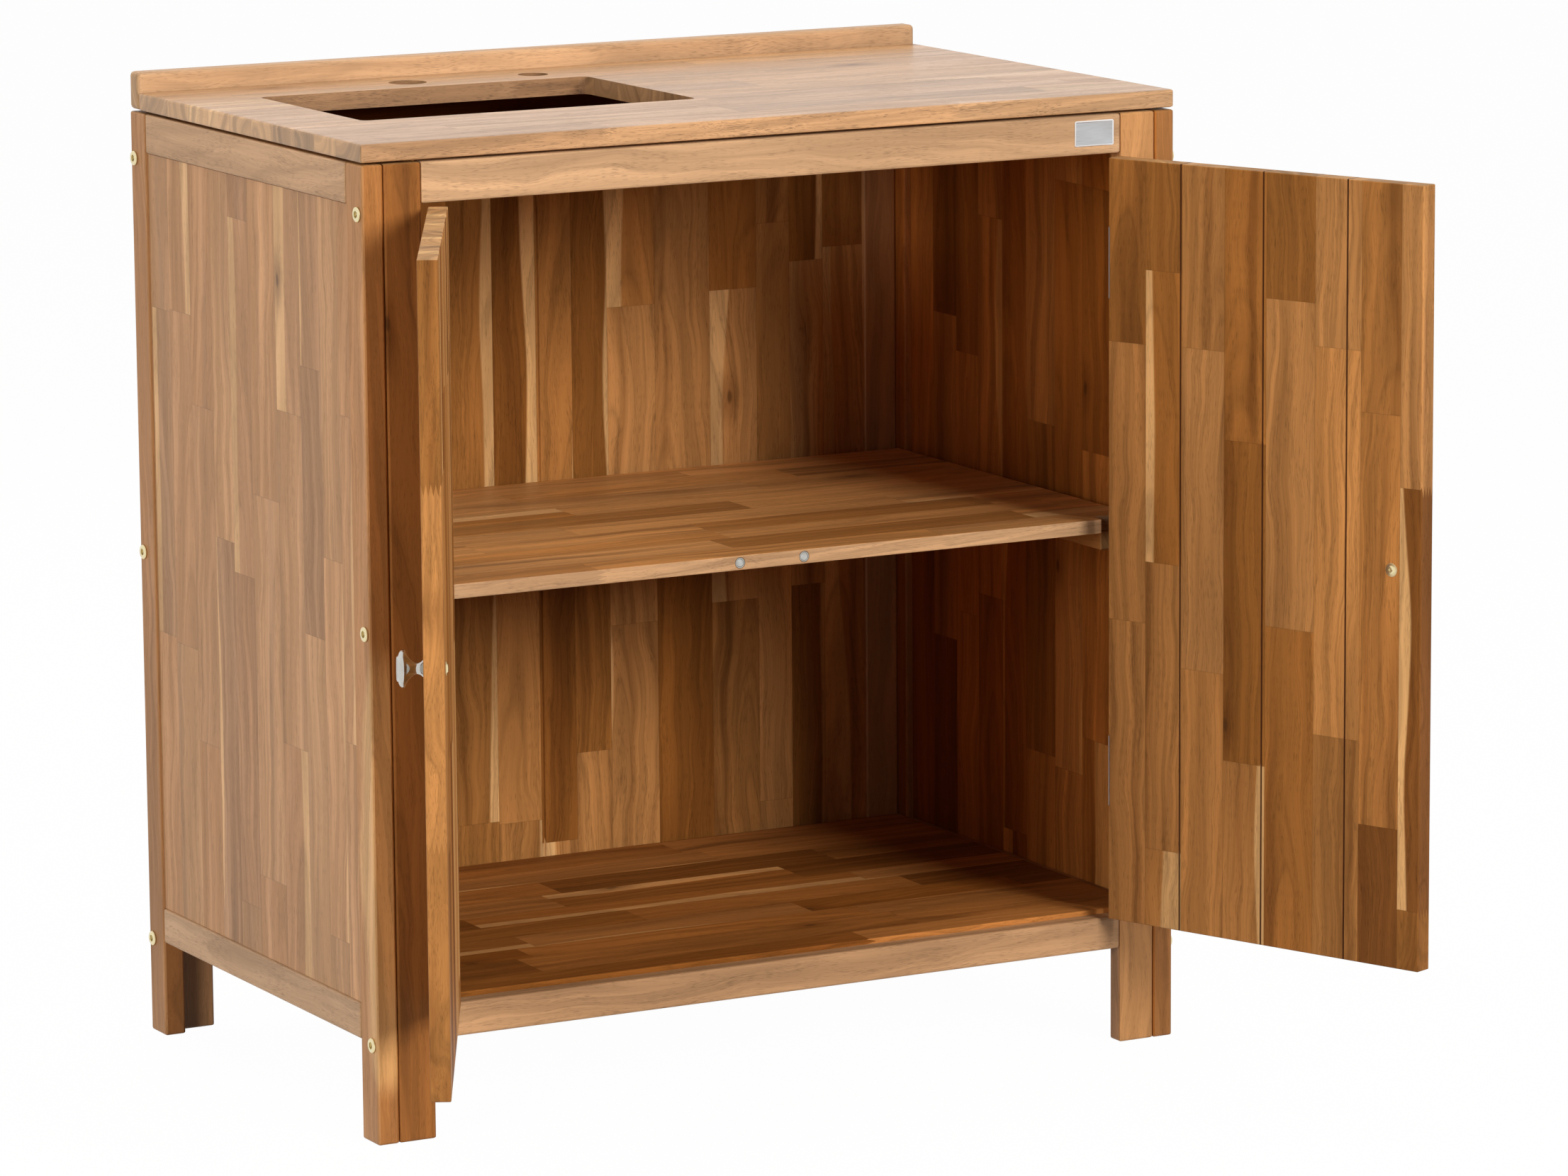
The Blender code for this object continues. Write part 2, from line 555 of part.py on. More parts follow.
def leaf_plate(name, ranges, x_low):
    """Make a leaf's flat plate, with one lug for each of its knuckles, from its outline."""
    bore = PIN_RADIUS + PIN_RUNNING_GAP
    root_line = KNUCKLE_RADIUS + SEAT
    outer = root_line + LEAF_WIDTH
    outline = [(outer, 0), (outer, HINGE_LENGTH), (root_line, HINGE_LENGTH)]
    for low, high in reversed(ranges):
        outline += [(root_line, high), (bore, high), (bore, low), (root_line, low)]
    outline.append((root_line, 0))
    points = [p for p, before in zip(outline, outline[-1:] + outline[:-1]) if p != before]
    afters = points[1:] + points[:1]
    points = [p for i, (p, after) in enumerate(zip(points, afters)) if not on_line(points[i - 1], p, after)]
    curve = bpy.data.curves.new(name, "CURVE")
    curve.dimensions = "2D"
    curve.fill_mode = "BOTH"
    curve.extrude = LEAF_THICKNESS / 2
    spline = curve.splines.new("POLY")
    spline.points.add(len(points) - 1)
    for point, (y, z) in zip(spline.points, points):
        point.co = (y, z, 0, 1)
    spline.use_cyclic_u = True
    obj = bpy.data.objects.new(name, curve)
    CUTTERS.objects.link(obj)
    mesh = baked_mesh(obj, name)
    bpy.data.curves.remove(curve)
    bm = bmesh.new()
    bm.from_mesh(mesh)
    bmesh.ops.remove_doubles(bm, verts=bm.verts, dist=0.00001)
    upright = Matrix(((0, 0, 1, x_low + LEAF_THICKNESS / 2), (1, 0, 0, 0), (0, 1, 0, 0), (0, 0, 0, 1)))
    bmesh.ops.transform(bm, matrix=upright, verts=bm.verts)
    bmesh.ops.recalc_face_normals(bm, faces=bm.faces)
    bm.to_mesh(mesh)
    bm.free()
    return mesh


def on_line(a, b, c):
    """Say whether three outline points lie on one straight line."""
    return abs((b[0] - a[0]) * (c[1] - a[1]) - (b[1] - a[1]) * (c[0] - a[0])) < 1e-12


def hinge_leaf(name, owned, x_low, barrel):
    """Join a leaf's plate with its barrel."""
    plate = bpy.data.objects.new(name, leaf_plate(name + "_plate", knuckle_ranges(owned), x_low))
    CUTTERS.objects.link(plate)
    for number, mesh in enumerate(barrel):
        combine(plate, place_cutter(f"{name}_barrel_{number}", mesh, None), "UNION")
    return baked_mesh(plate, name)


def pinned_barrel():
    """Turn the frame leaf's knuckles and the pin that is riveted in them, as one stepped rod."""
    ranges = knuckle_ranges(range(0, KNUCKLES, 2))
    profile = [(0, HINGE_LENGTH)]
    for low, high in reversed(ranges):
        profile += [(KNUCKLE_RADIUS, high), (KNUCKLE_RADIUS, low)]
        if low > 0:
            profile += [(PIN_RADIUS, low), (PIN_RADIUS, low - HINGE_LENGTH / KNUCKLES - KNUCKLE_GAP)]
    profile.append((0, 0))
    return [turned_mesh("pinned_barrel", profile, HINGE_SIDES)]


def running_knuckles():
    """Turn the door leaf's knuckles, bored to run on the pin."""
    bore = PIN_RADIUS + PIN_RUNNING_GAP
    knuckles = []
    for low, high in knuckle_ranges(range(1, KNUCKLES, 2)):
        ring = [(bore, high), (KNUCKLE_RADIUS, high), (KNUCKLE_RADIUS, low), (bore, low)]
        knuckles.append(turned_mesh("running_knuckle", ring, HINGE_SIDES, closed=True))
    return knuckles


def hinges(side, root, axis):
    """Make a door's two butt hinges: one leaf on the stile, the other on the door."""
    label = SIDE_NAMES[side]
    edge = DOOR_GAP / 2
    frame_low = ordered(side * edge, side * (edge + LEAF_THICKNESS))[0]
    door_low = ordered(-side * edge, -side * (edge + LEAF_THICKNESS))[0]
    frame_leaf = hinge_leaf(f"{label}_frame_leaf", range(0, KNUCKLES, 2), frame_low, pinned_barrel())
    door_leaf = hinge_leaf(f"{label}_door_leaf", range(1, KNUCKLES, 2), door_low, running_knuckles())
    for level, low in zip(("lower", "upper"), HINGE_LOWS):
        place_part(f"{label}_{level}_hinge_frame_leaf", frame_leaf, "zinced_steel", root,
                   (side * PIN_X, PIN_Y, low))
        place_part(f"{label}_{level}_hinge_door_leaf", door_leaf, "zinced_steel", axis, (0, 0, low))


def door(side, axis):
    """Make a door of V-jointed boards in its closed place, measured from its pin axis."""
    hinge_edge = DOOR_GAP / 2
    free_edge = PIN_X - DOOR_MEETING_GAP / 2
    y = (-PIN_Y, DOOR_THICKNESS - PIN_Y)
    z = (DOOR_LOW, DOOR_HIGH)
    x = across(-side, hinge_edge, free_edge)
    slab = board(f"{SIDE_NAMES[side]}_door", x, y, z, "acacia_door", axis, DOOR_ROUND)
    beds = [(across(-side, hinge_edge - SEAT, hinge_edge + LEAF_THICKNESS + SEAT),
             (y[0] - SEAT, y[0] + LEAF_WIDTH + SEAT), (low - SEAT, low + HINGE_LENGTH + SEAT))
            for low in HINGE_LOWS]
    knob_x = -side * (PIN_X - KNOB_X)
    hole = ((knob_x, y[0] - DOOR_THICKNESS, KNOB_Z), (knob_x, y[1] + DOOR_THICKNESS, KNOB_Z),
            SCREW_RADIUS + SCREW_HOLE_GAP, BOLT_SIDES)
    carve(slab, beds, [hole])
    middle = sum(x) / 2
    cut_vees(slab, [middle + step * DOOR_BOARD_WIDTH for step in (-1, 0, 1)], y, z)
    return knob_x, y


def knob_mesh():
    """Turn the mushroom knob, from the middle of its face to its base, and bore it for its screw."""
    rim_top = KNOB_LENGTH - KNOB_RIM / 2
    rim_low = KNOB_LENGTH - KNOB_RIM
    profile = [(0, KNOB_LENGTH), (KNOB_FACE_RADIUS, KNOB_LENGTH - KNOB_RIM / 12),
               (KNOB_RADIUS, rim_top), (KNOB_RADIUS, rim_low + KNOB_RIM / 6)]
    waist = rim_low - KNOB_NECK_FROM_DOOR
    flare_steps = 5
    for step in range(flare_steps + 1):
        turn = step / flare_steps * pi / 2
        radius = KNOB_NECK_RADIUS + (KNOB_RADIUS - KNOB_RIM / 8 - KNOB_NECK_RADIUS) * (1 - sin(turn)) ** 0.8
        profile.append((radius, KNOB_NECK_FROM_DOOR + waist * cos(turn) ** 1.3))
    for step in (1, 2, 3):
        turn = step / 3 * pi / 2
        radius = KNOB_NECK_RADIUS + (KNOB_BASE_RADIUS - KNOB_NECK_RADIUS) * (1 - cos(turn))
        profile.append((radius, KNOB_NECK_FROM_DOOR * (1 - sin(turn))))
    profile.append((0, 0))
    blank = bpy.data.objects.new("knob_blank", turned_mesh("knob_blank", profile, KNOB_SIDES))
    CUTTERS.objects.link(blank)
    bm = bmesh.new()
    add_rod(bm, (0, 0, -SCREW_INTO_KNOB), (0, 0, SCREW_INTO_KNOB + SEAT), SCREW_RADIUS + SCREW_HOLE_GAP,
            BOLT_SIDES)
    combine(blank, place_cutter("knob_bore", bmesh_to_mesh(bm, "knob_bore"), None), "DIFFERENCE")
    return baked_mesh(blank, "knob")


def knob_screw_mesh():
    """Turn the knob's screw with the washer under its head, the door's face at height zero."""
    under = SEAT + WASHER_THICKNESS
    tip = -(DOOR_THICKNESS + SCREW_INTO_KNOB)
    profile = [(0, under + SCREW_HEAD_HEIGHT), (SCREW_HEAD_RADIUS * 0.7, under + SCREW_HEAD_HEIGHT),
               (SCREW_HEAD_RADIUS, under + SCREW_HEAD_HEIGHT / 3), (SCREW_HEAD_RADIUS, under),
               (WASHER_RADIUS, under), (WASHER_RADIUS, SEAT), (SCREW_RADIUS, SEAT),
               (SCREW_RADIUS, tip), (0, tip)]
    return turned_mesh("knob_screw", profile, BOLT_SIDES)


def doors(root):
    """Make both doors with their hinges, knobs and knob screws, each turned open about its pin."""
    knob = knob_mesh()
    screw = knob_screw_mesh()
    for side, opening in ((LEFT, -LEFT_DOOR_OPEN), (RIGHT, RIGHT_DOOR_OPEN)):
        label = SIDE_NAMES[side]
        axis = make_empty(f"{label}_door_axis", root, (side * PIN_X, PIN_Y, 0), opening)
        knob_x, (outer, inner) = door(side, axis)
        hinges(side, root, axis)
        place_part(f"{label}_knob", knob, "chrome", axis, (knob_x, outer - SEAT, KNOB_Z), (pi / 2, 0, 0))
        place_part(f"{label}_knob_screw", screw, "brassed_steel", axis, (knob_x, inner, KNOB_Z),
                   (-pi / 2, 0, 0))


def centre_on_floor(root):
    """Move the model so that its origin is the bottom centre of its box."""
    bpy.context.view_layer.update()
    depsgraph = bpy.context.evaluated_depsgraph_get()
    corners = []
    for obj in PARTS.objects:
        if obj.type == "MESH":
            solid = obj.evaluated_get(depsgraph)
            corners += [solid.matrix_world @ vertex.co for vertex in solid.data.vertices]
    spans = [ordered(min(c[i] for c in corners), max(c[i] for c in corners)) for i in range(3)]
    root.location = (-sum(spans[0]) / 2, -sum(spans[1]) / 2, -spans[2][0])
    bpy.context.view_layer.update()


def build():
    """Build the whole cabinet."""
    root = make_empty("cabinet_origin")
    for side in (LEFT, RIGHT):
        side_frame(side, root)
    front_frame(root)
    back_frame(root)
    cleats(root)
    shelf_and_floor(root)
    worktop(root)
    doors(root)
    connector_bolts(root)
    centre_on_floor(root)


clear_scene()
PARTS = make_collection("outdoor_sink_cabinet")
CUTTERS = make_collection("cutters")
MATERIALS = {name: make_finish(name) for name in FINISHES}
build()
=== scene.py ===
import json
import math

import bpy
from mathutils import Matrix, Vector


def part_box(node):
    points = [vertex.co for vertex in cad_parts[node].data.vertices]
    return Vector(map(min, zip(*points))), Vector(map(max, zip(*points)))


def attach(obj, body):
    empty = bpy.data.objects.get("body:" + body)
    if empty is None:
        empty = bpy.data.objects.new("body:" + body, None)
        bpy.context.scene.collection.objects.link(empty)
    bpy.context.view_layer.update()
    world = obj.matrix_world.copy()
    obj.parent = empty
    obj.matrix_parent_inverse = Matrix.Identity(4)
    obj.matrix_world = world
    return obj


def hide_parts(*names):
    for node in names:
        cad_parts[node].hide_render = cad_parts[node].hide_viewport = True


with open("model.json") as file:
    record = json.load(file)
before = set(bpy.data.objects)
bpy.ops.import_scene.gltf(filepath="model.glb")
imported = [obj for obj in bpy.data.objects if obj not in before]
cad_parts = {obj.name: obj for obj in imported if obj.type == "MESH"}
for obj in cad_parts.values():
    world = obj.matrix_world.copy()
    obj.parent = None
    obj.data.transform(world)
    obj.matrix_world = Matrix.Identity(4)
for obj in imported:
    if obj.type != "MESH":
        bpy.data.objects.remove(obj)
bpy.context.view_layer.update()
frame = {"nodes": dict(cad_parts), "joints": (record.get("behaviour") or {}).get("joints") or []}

bl_info = {
    "name": "Outdoor sink cabinet",
    "version": (1, 0, 0),
    "blender": (4, 5, 0),
    "location": "3D View > Sidebar > Sink cabinet",
    "description": "Finishes, fittings and studio for an oiled acacia sink cabinet",
    "category": "Object",
}

X_AXIS, Y_AXIS, Z_AXIS = Vector((1, 0, 0)), Vector((0, 1, 0)), Vector((0, 0, 1))
WHITE = (1, 1, 1, 1)

# The kinds of node that are used most.
MATH = "ShaderNodeMath"
VECTOR_MATH = "ShaderNodeVectorMath"
MAP_RANGE = "ShaderNodeMapRange"
MIX = "ShaderNodeMix"
NOISE = "ShaderNodeTexNoise"
VORONOI = "ShaderNodeTexVoronoi"
RAMP = "ShaderNodeValToRGB"
BUMP = "ShaderNodeBump"
MAPPING = "ShaderNodeMapping"
TEXTURE_PLACE = "ShaderNodeTexCoord"
SEPARATE_XYZ = "ShaderNodeSeparateXYZ"
COMBINE_XYZ = "ShaderNodeCombineXYZ"
SEPARATE_COLOUR = "ShaderNodeSeparateColor"

# Places on a shut door, in metres from its hinge pin, as the solids have them, and which way the
# door reaches from the pin along X.
DOOR_FACE_FROM_PIN = 0.0033
DOOR_THICKNESS = 0.017
KNOB_FROM_PIN = 0.3117
LEAF_FACE_FROM_PIN = 0.001
LEAF_WIDTH = 0.017
VEE_PITCH = 0.0905
DOOR_REACH = {"left": 1, "right": -1}

# How far the bare plate sits from the middle of the front top rail, and its corners and rim.
PLATE_ASIDE = 0.317
PLATE_RISE = 0.00155
PLATE_CORNER = 0.0017
PLATE_RIM = 0.0012

# Angle, in degrees, past which an edge of a fitting stays sharp.
SHARP_EDGE = 35

# The photo's camera, as fitted to the cabinet's edges: place in metres, angles in radians.
CAMERA_PLACE = (-2.89763, -5.49432, 1.56305)
CAMERA_AZIMUTH = 0.493644
CAMERA_DROP = 0.178775
CAMERA_ROLL = 0.0076796
CAMERA_SENSOR_MM = 36.0

# Softboxes: their setting in the sidebar, side of the square and place, in metres. Each looks at
# the middle of the cabinet.
SOFTBOXES = {
    "top_softbox": ("top", 3.0, (-0.3, 1.6, 3.4)),
    "front_right_softbox": ("key", 3.0, (2.2, -7.2, 3.3)),
    "left_softbox": ("side", 2.6, (-5.7, -2.4, 1.8)),
}
CABINET_MIDDLE = Vector((0, 0, 0.5))
FLOOR_SIZE = 80
FLOOR_WHITENESS = 0.98

# A piece sawn from one board is one stave, wider and longer than the piece.
SOLID = 0.30
BOARD_LENGTH = 60.0

# Staves: how uneven their widths and lengths are, from 0 to 1, how far apart the random draws of
# pieces and of columns lie, and how far apart, in metres, staves lay in the timber.
WIDTH_UNEVENNESS = 0.55
LENGTH_UNEVENNESS = 0.7
PIECE_STRIDE = 17.0
COLUMN_STRIDE = 700.0
TIMBER_SPREAD = (2.3, 3.1, 1.7)
FINGER_PITCH = 0.004
FINGER_DEPTH = 0.010

# Growth rings, in metres: their width, how far beside and how deep under the face the pith lies,
# how far it leans per metre and how far the grain sways.
RING_WIDTH = 0.008
PITH_ASIDE = 0.07
PITH_DEPTH = (0.008, 0.050)
PITH_LEAN = 0.055
RING_SWAY = 0.034
GRAIN_SWAY = 0.024

# Layers of the grain: repeats per metre across and along it, and the noise's detail and roughness.
# Fine grain is 1.5 mm wide and 90 mm long. Pores are dashes 0.5 mm wide and 9 mm long, wider than
# they are, so that they show, and crowd in patches 8 mm wide. Dark streaks are 19 mm wide and soft
# bands 22 mm.
GRAIN = {
    "fine": (640.0, 11.0, 2.0, 0.6),
    "pores": (1900.0, 105.0, 1.0, 0.5),
    "crowd": (130.0, 14.0, 1.0, 0.5),
    "streak": (52.0, 1.6, 3.0, 0.5),
    "slow": (45.0, 3.0, 2.0, 0.5),
}
SWAY_REPEATS = (16.0, 7.0, 16.0)
SAP_DRIFT_REPEATS = (2.0, 3.2, 2.0)
KNOT_REPEATS = (6.0, 2.6, 0.0)

# What a thick coat of oil lets through: little green and less blue. Mixed in by the warmth, it also paints
# the deeper colour of shade.
OIL_FILTER = (1.0, 0.62, 0.18, 1.0)
OIL_IOR = 1.46

# How the staves of a piece were picked and finished: spread of tone between staves, middle tone,
# share of staves with sapwood, strength of the dark streaks and of the pores, how far the face is
# turned to the pale dry colour, which stands for bleaching and for painted sheen and light, its
# roughness, how far its oil warms it, which on shaded pieces also paints the deeper colour of
# shade, and how much the oil shines.
QUALITIES = ("Spread", "Lift", "Sap share", "Figure", "Pores", "Bleach", "Dullness", "Warmth")
LOOKS = {
    "side": (0.56, 0.60, 0.30, 0.36, 0.45, 0.34, 0.46, 0.00, 0.50),
    "right side": (0.95, 0.68, 0.34, 0.50, 0.50, 0.34, 0.46, 0.00, 0.50),
    "back": (0.95, 0.72, 0.34, 0.58, 0.55, 0.00, 0.62, 0.00, 0.16),
    "door": (0.84, 0.53, 0.36, 0.54, 0.55, 0.00, 0.58, 0.00, 0.26),
    "top": (0.75, 0.80, 0.16, 0.28, 0.90, 0.52, 0.30, 0.00, 0.50),
    "shelf": (1.00, 0.98, 0.16, 0.55, 0.50, 0.65, 0.46, 0.00, 0.50),
    "floor": (0.70, 0.54, 0.10, 0.54, 0.45, 0.00, 0.58, 0.32, 0.22),
    "rail": (0.24, 0.54, 0.06, 0.28, 0.60, 0.70, 0.46, 0.00, 0.50),
    "low rail": (0.24, 0.54, 0.06, 0.28, 0.60, 0.54, 0.46, 0.06, 0.50),
    "stile": (0.24, 0.62, 0.10, 0.40, 0.40, 0.24, 0.48, 0.00, 0.45),
    "pale stile": (0.10, 0.88, 0.00, 0.34, 0.40, 0.16, 0.48, 0.00, 0.45),
    # Painted shade: the front left stile is painted darker and warmer, as the shade of the open left door.
    "dark stile": (0.10, 0.34, 0.00, 0.50, 0.40, 0.06, 0.55, 0.22, 0.25),
    "hidden": (0.50, 0.70, 0.20, 0.40, 0.40, 0.00, 0.60, 0.00, 0.20),
}

# Pieces that only bleach on one face, by the start of their names: which way that face looks, the
# slant to it where bleaching starts and where it is full, and what is painted on their other faces:
# how far the deeper colour of shade is painted on them, and how much of their brightness is left,
# which below one paints shade on them and above one paints light.
BLEACH_AND_PAINTED_LIGHT = {
    "left_side": (-X_AXIS, -0.5, 0.5, 0.50, 0.78),
    "right_side": (X_AXIS, -0.5, 0.5, 0.60, 0.88),
    "back_top_rail": (Y_AXIS, -0.8, -0.3, 0.80, 0.15),
    "shelf": (-Y_AXIS, 0.3, 0.8, 0.00, 1.20),
}


def linear(code):
    """The linear colour of an sRGB hex value."""
    parts = [int(code[i : i + 2], 16) / 255 for i in (1, 3, 5)]
    return [p / 12.92 if p <= 0.04045 else ((p + 0.055) / 1.055) ** 2.4 for p in parts]


def colour(name, code, description):
    """A colour that the sidebar shows."""
    return bpy.props.FloatVectorProperty(
        name=name, description=description, default=linear(code), subtype="COLOR", min=0, max=1
    )


def length(name, metres, description):
    """A size that the sidebar shows."""
    return bpy.props.FloatProperty(
        name=name, description=description, default=metres, subtype="DISTANCE", unit="LENGTH", min=0
    )


def level(name, amount, description):
    """A strength or measure that the sidebar shows."""
    return bpy.props.FloatProperty(name=name, description=description, default=amount, min=0)


def count(name, number, description):
    """A whole number that the sidebar shows."""
    return bpy.props.IntProperty(name=name, description=description, default=number, min=0)


class CabinetWood(bpy.types.PropertyGroup):
    """Colours and stave sizes of the acacia."""

    dark_heart: colour("Dark heartwood", "#5F3414", "Darkest staves and the streaks in the others")
    heart: colour("Heartwood", "#97612D", "Most staves")
    light_heart: colour("Light heartwood", "#C38A52", "Palest heartwood staves")
    sapwood: colour("Sapwood", "#CF9F68", "Pale strips along some staves")
    knot: colour("Knot", "#4A2C14", "Middle of a knot")
    # The pale dry colour stands for bleaching and for painted sheen and light on the faces that the light
    # meets.
    dry_and_painted_light: colour("Dry face", "#C3A07C", "What the outer faces bleach towards")
    end_grain: colour("End grain", "#C49C6C", "Cut ends, which the oil leaves paler")
    # Dark colour for the V-joints, where it stands for oil and dust and for painted shade, and for the sawn
    # walls of openings, which it paints darker.
    joint_and_wall_dark: colour("Soaked wood", "#3C1A08", "V-joints and sawn walls, where oil gathers")
    stave_width: length("Stave width", 0.046, "Width of one glued strip")
    stave_length: length("Stave length", 0.310, "Usual length of one glued strip")
    pick: count("Pick", 7, "Which staves went into which piece")
    shelf_pick: count("Shelf pick", 4, "Which staves went into the shelf")


class CabinetMetal(bpy.types.PropertyGroup):
    """Tints of the plated fittings."""

    chrome: colour("Chrome", "#C9C6C0", "Knobs")
    brass: colour("Brassed steel", "#8E6238", "Connector bolts and knob screws")
    zinc: colour("Zinced steel", "#B4B6B6", "Hinges and their screws")
    nickel: colour("Nickel", "#C6C4BE", "Magnets")
    plate: colour("Plate", "#D2D4D6", "Bare plate on the top rail")


class CabinetFittings(bpy.types.PropertyGroup):
    """Sizes of the fittings that are modelled here."""

    knob_radius: length("Knob radius", 0.0157, "Largest radius, at the rim")
    knob_length: length("Knob length", 0.0225, "From the door to the front of the knob")
    bolt_radius: length("Bolt head radius", 0.0066, "Flat head of a connector bolt")
    bolt_socket: length("Bolt socket", 0.0034, "Radius of the six-sided socket, to its corners")
    washer_radius: length("Washer radius", 0.0060, "Washer under a knob screw")
    screw_radius: length("Knob screw radius", 0.0038, "Pan head of a knob screw")
    magnet_radius: length("Magnet radius", 0.0048, "Magnet in the shelf's front edge")
    hinge_screw_radius: length("Hinge screw radius", 0.0026, "Countersunk head in a hinge leaf")
    plate_width: length("Plate width", 0.040, "Bare plate on the top rail")
    plate_height: length("Plate height", 0.023, "Bare plate on the top rail")
    plate_thickness: length("Plate thickness", 0.0008, "Bare plate on the top rail")


class CabinetStage(bpy.types.PropertyGroup):
    """The studio round the cabinet."""

    floor: colour("Floor", "#F8F7F5", "Seamless pale floor")
    bounce: colour("Floor bounce", "#6C5C48", "How much light the floor throws back up")
    shade: colour("Fill tint", "#FFCB95", "Tint of the light from all round, which the shade shows")
    fill: level("Fill", 0.035, "Light from all round")
    top: level("Top light", 88, "Watts of the light overhead")
    key: level("Key light", 700, "Watts of the light at front right")
    side: level("Side light", 310, "Watts of the light at the left")
    lens: level("Lens", 163.46, "Focal length in millimetres")


def connect(tree, node, wires):
    """Sets or links each socket of the node that wires names."""
    for socket, value in wires.items():
        if isinstance(value, bpy.types.NodeSocket):
            tree.links.new(value, node.inputs[socket])
        else:
            node.inputs[socket].default_value = value


def add(tree, kind, wires=None, stops=None, **settings):
    """One node, with its settings, its values and links, and a ramp's stops. Gives its outputs."""
    made = tree.nodes.new(kind)
    for setting, value in settings.items():
        setattr(made, setting, value)
    connect(tree, made, wires or {})
    for i, (place, tint) in enumerate(stops or ()):
        ramp = made.color_ramp.elements
        stop = ramp[i] if i < 2 else ramp.new(place)
        stop.position, stop.color = place, rgba(tint)
    return made.outputs


def rgba(tint):
    """A colour with full alpha, as node sockets take it."""
    return (*tint, 1)


def new_finish(name):
    """A material, its node tree and its shader."""
    made = bpy.data.materials.new(name)
    made.use_nodes = True
    return made, made.node_tree, made.node_tree.nodes["Principled BSDF"]


def lay_staves(tree, given, across, along, through):
    """Columns of uneven width across the board, and staves of uneven length along each column.
    Gives how far across its column a place lies, the stave's own random colour, and the distances
    to the nearest side seam and butt joint, as shares of a stave's width and length."""
    # Finger joints: the end of a stave zigzags through the board, so it is a straight line on the
    # face and teeth on the edge.
    half_tooth = FINGER_PITCH / 2
    tooth = add(tree, MATH, {0: through, 1: half_tooth}, operation="PINGPONG")[0]
    slope = FINGER_DEPTH / half_tooth
    cut = add(tree, MATH, {0: tooth, 1: slope, 2: along}, operation="MULTIPLY_ADD")[0]

    to_edge = {"voronoi_dimensions": "1D", "feature": "DISTANCE_TO_EDGE"}
    columns = add(tree, MATH, {0: across, 1: given["Stave width"]}, operation="DIVIDE")[0]
    columns = add(
        tree, MATH, {0: given["Seed"], 1: PIECE_STRIDE, 2: columns}, operation="MULTIPLY_ADD"
    )[0]
    widths = {"W": columns, "Scale": 1.0, "Randomness": given["Unevenness"]}
    column = add(tree, VORONOI, widths, voronoi_dimensions="1D")
    side_seam = add(tree, VORONOI, widths, **to_edge)["Distance"]
    inside = add(tree, MATH, {0: columns, 1: column["W"]}, operation="SUBTRACT")[0]
    inside = add(tree, MATH, {0: inside, 1: 0.5}, operation="ADD")[0]

    chance = add(tree, SEPARATE_COLOUR, {0: column["Color"]})[0]
    run = add(tree, MATH, {0: cut, 1: given["Stave length"]}, operation="DIVIDE")[0]
    run = add(tree, MATH, {0: chance, 1: COLUMN_STRIDE, 2: run}, operation="MULTIPLY_ADD")[0]
    lengths = {"W": run, "Scale": 1.0, "Randomness": LENGTH_UNEVENNESS}
    stave = add(tree, VORONOI, lengths, voronoi_dimensions="1D")["Color"]
    butt = add(tree, VORONOI, lengths, **to_edge)["Distance"]
    return inside, stave, side_seam, butt


def growth_rings(tree, width, along, through, inside, sway, chances):
    """Rings round a pith that leans through the stave, so that they show as long arches on the
    face and as arcs on the cut ends."""
    first, second, third = chances
    aside = add(tree, MATH, {0: inside, 1: 0.5}, operation="SUBTRACT")[0]
    aside = add(tree, MATH, {0: aside, 1: width}, operation="MULTIPLY")[0]
    aside = add(tree, MATH, {0: first, 1: 2 * PITH_ASIDE, 2: aside}, operation="MULTIPLY_ADD")[0]
    aside = add(tree, MATH, {0: aside, 1: PITH_ASIDE}, operation="SUBTRACT")[0]
    aside = add(tree, MATH, {0: sway, 1: RING_SWAY, 2: aside}, operation="MULTIPLY_ADD")[0]
    shallow, deepest = PITH_DEPTH
    deep = add(tree, MATH, {0: along, 1: PITH_LEAN, 2: through}, operation="MULTIPLY_ADD")[0]
    deep = add(tree, MATH, {0: second, 1: deepest - shallow, 2: deep}, operation="MULTIPLY_ADD")[0]
    deep = add(tree, MATH, {0: deep, 1: shallow}, operation="ADD")[0]
    from_pith = add(tree, COMBINE_XYZ, {0: aside, 1: deep})[0]
    from_pith = add(tree, VECTOR_MATH, {0: from_pith}, operation="LENGTH")["Value"]
    # The rings also change slowly along the stave, and each stave has its own.
    ring = add(tree, MATH, {0: from_pith, 1: 1 / RING_WIDTH}, operation="MULTIPLY")[0]
    slow = add(tree, MATH, {0: along, 1: 1.6, 2: first}, operation="MULTIPLY_ADD")[0]
    own = add(tree, MATH, {0: third, 1: 60.0}, operation="MULTIPLY")[0]
    ring_at = add(tree, COMBINE_XYZ, {0: ring, 1: slow, 2: own})[0]
    noise = {"Vector": ring_at, "Scale": 1.0, "Detail": 2.0, "Roughness": 0.55}
    return add(tree, NOISE, noise)["Fac"]


def grain_layers(tree, bent):
    """Noise for each layer in GRAIN, drawn out along the grain."""
    layers = {}
    for layer, (sideways, lengthwise, detail, rough) in GRAIN.items():
        repeats = (sideways, lengthwise, sideways)
        at = add(tree, VECTOR_MATH, {0: bent, 1: repeats}, operation="MULTIPLY")[0]
        noise = {"Vector": at, "Scale": 1.0, "Detail": detail, "Roughness": rough}
        layers[layer] = add(tree, NOISE, noise)["Fac"]
    return layers


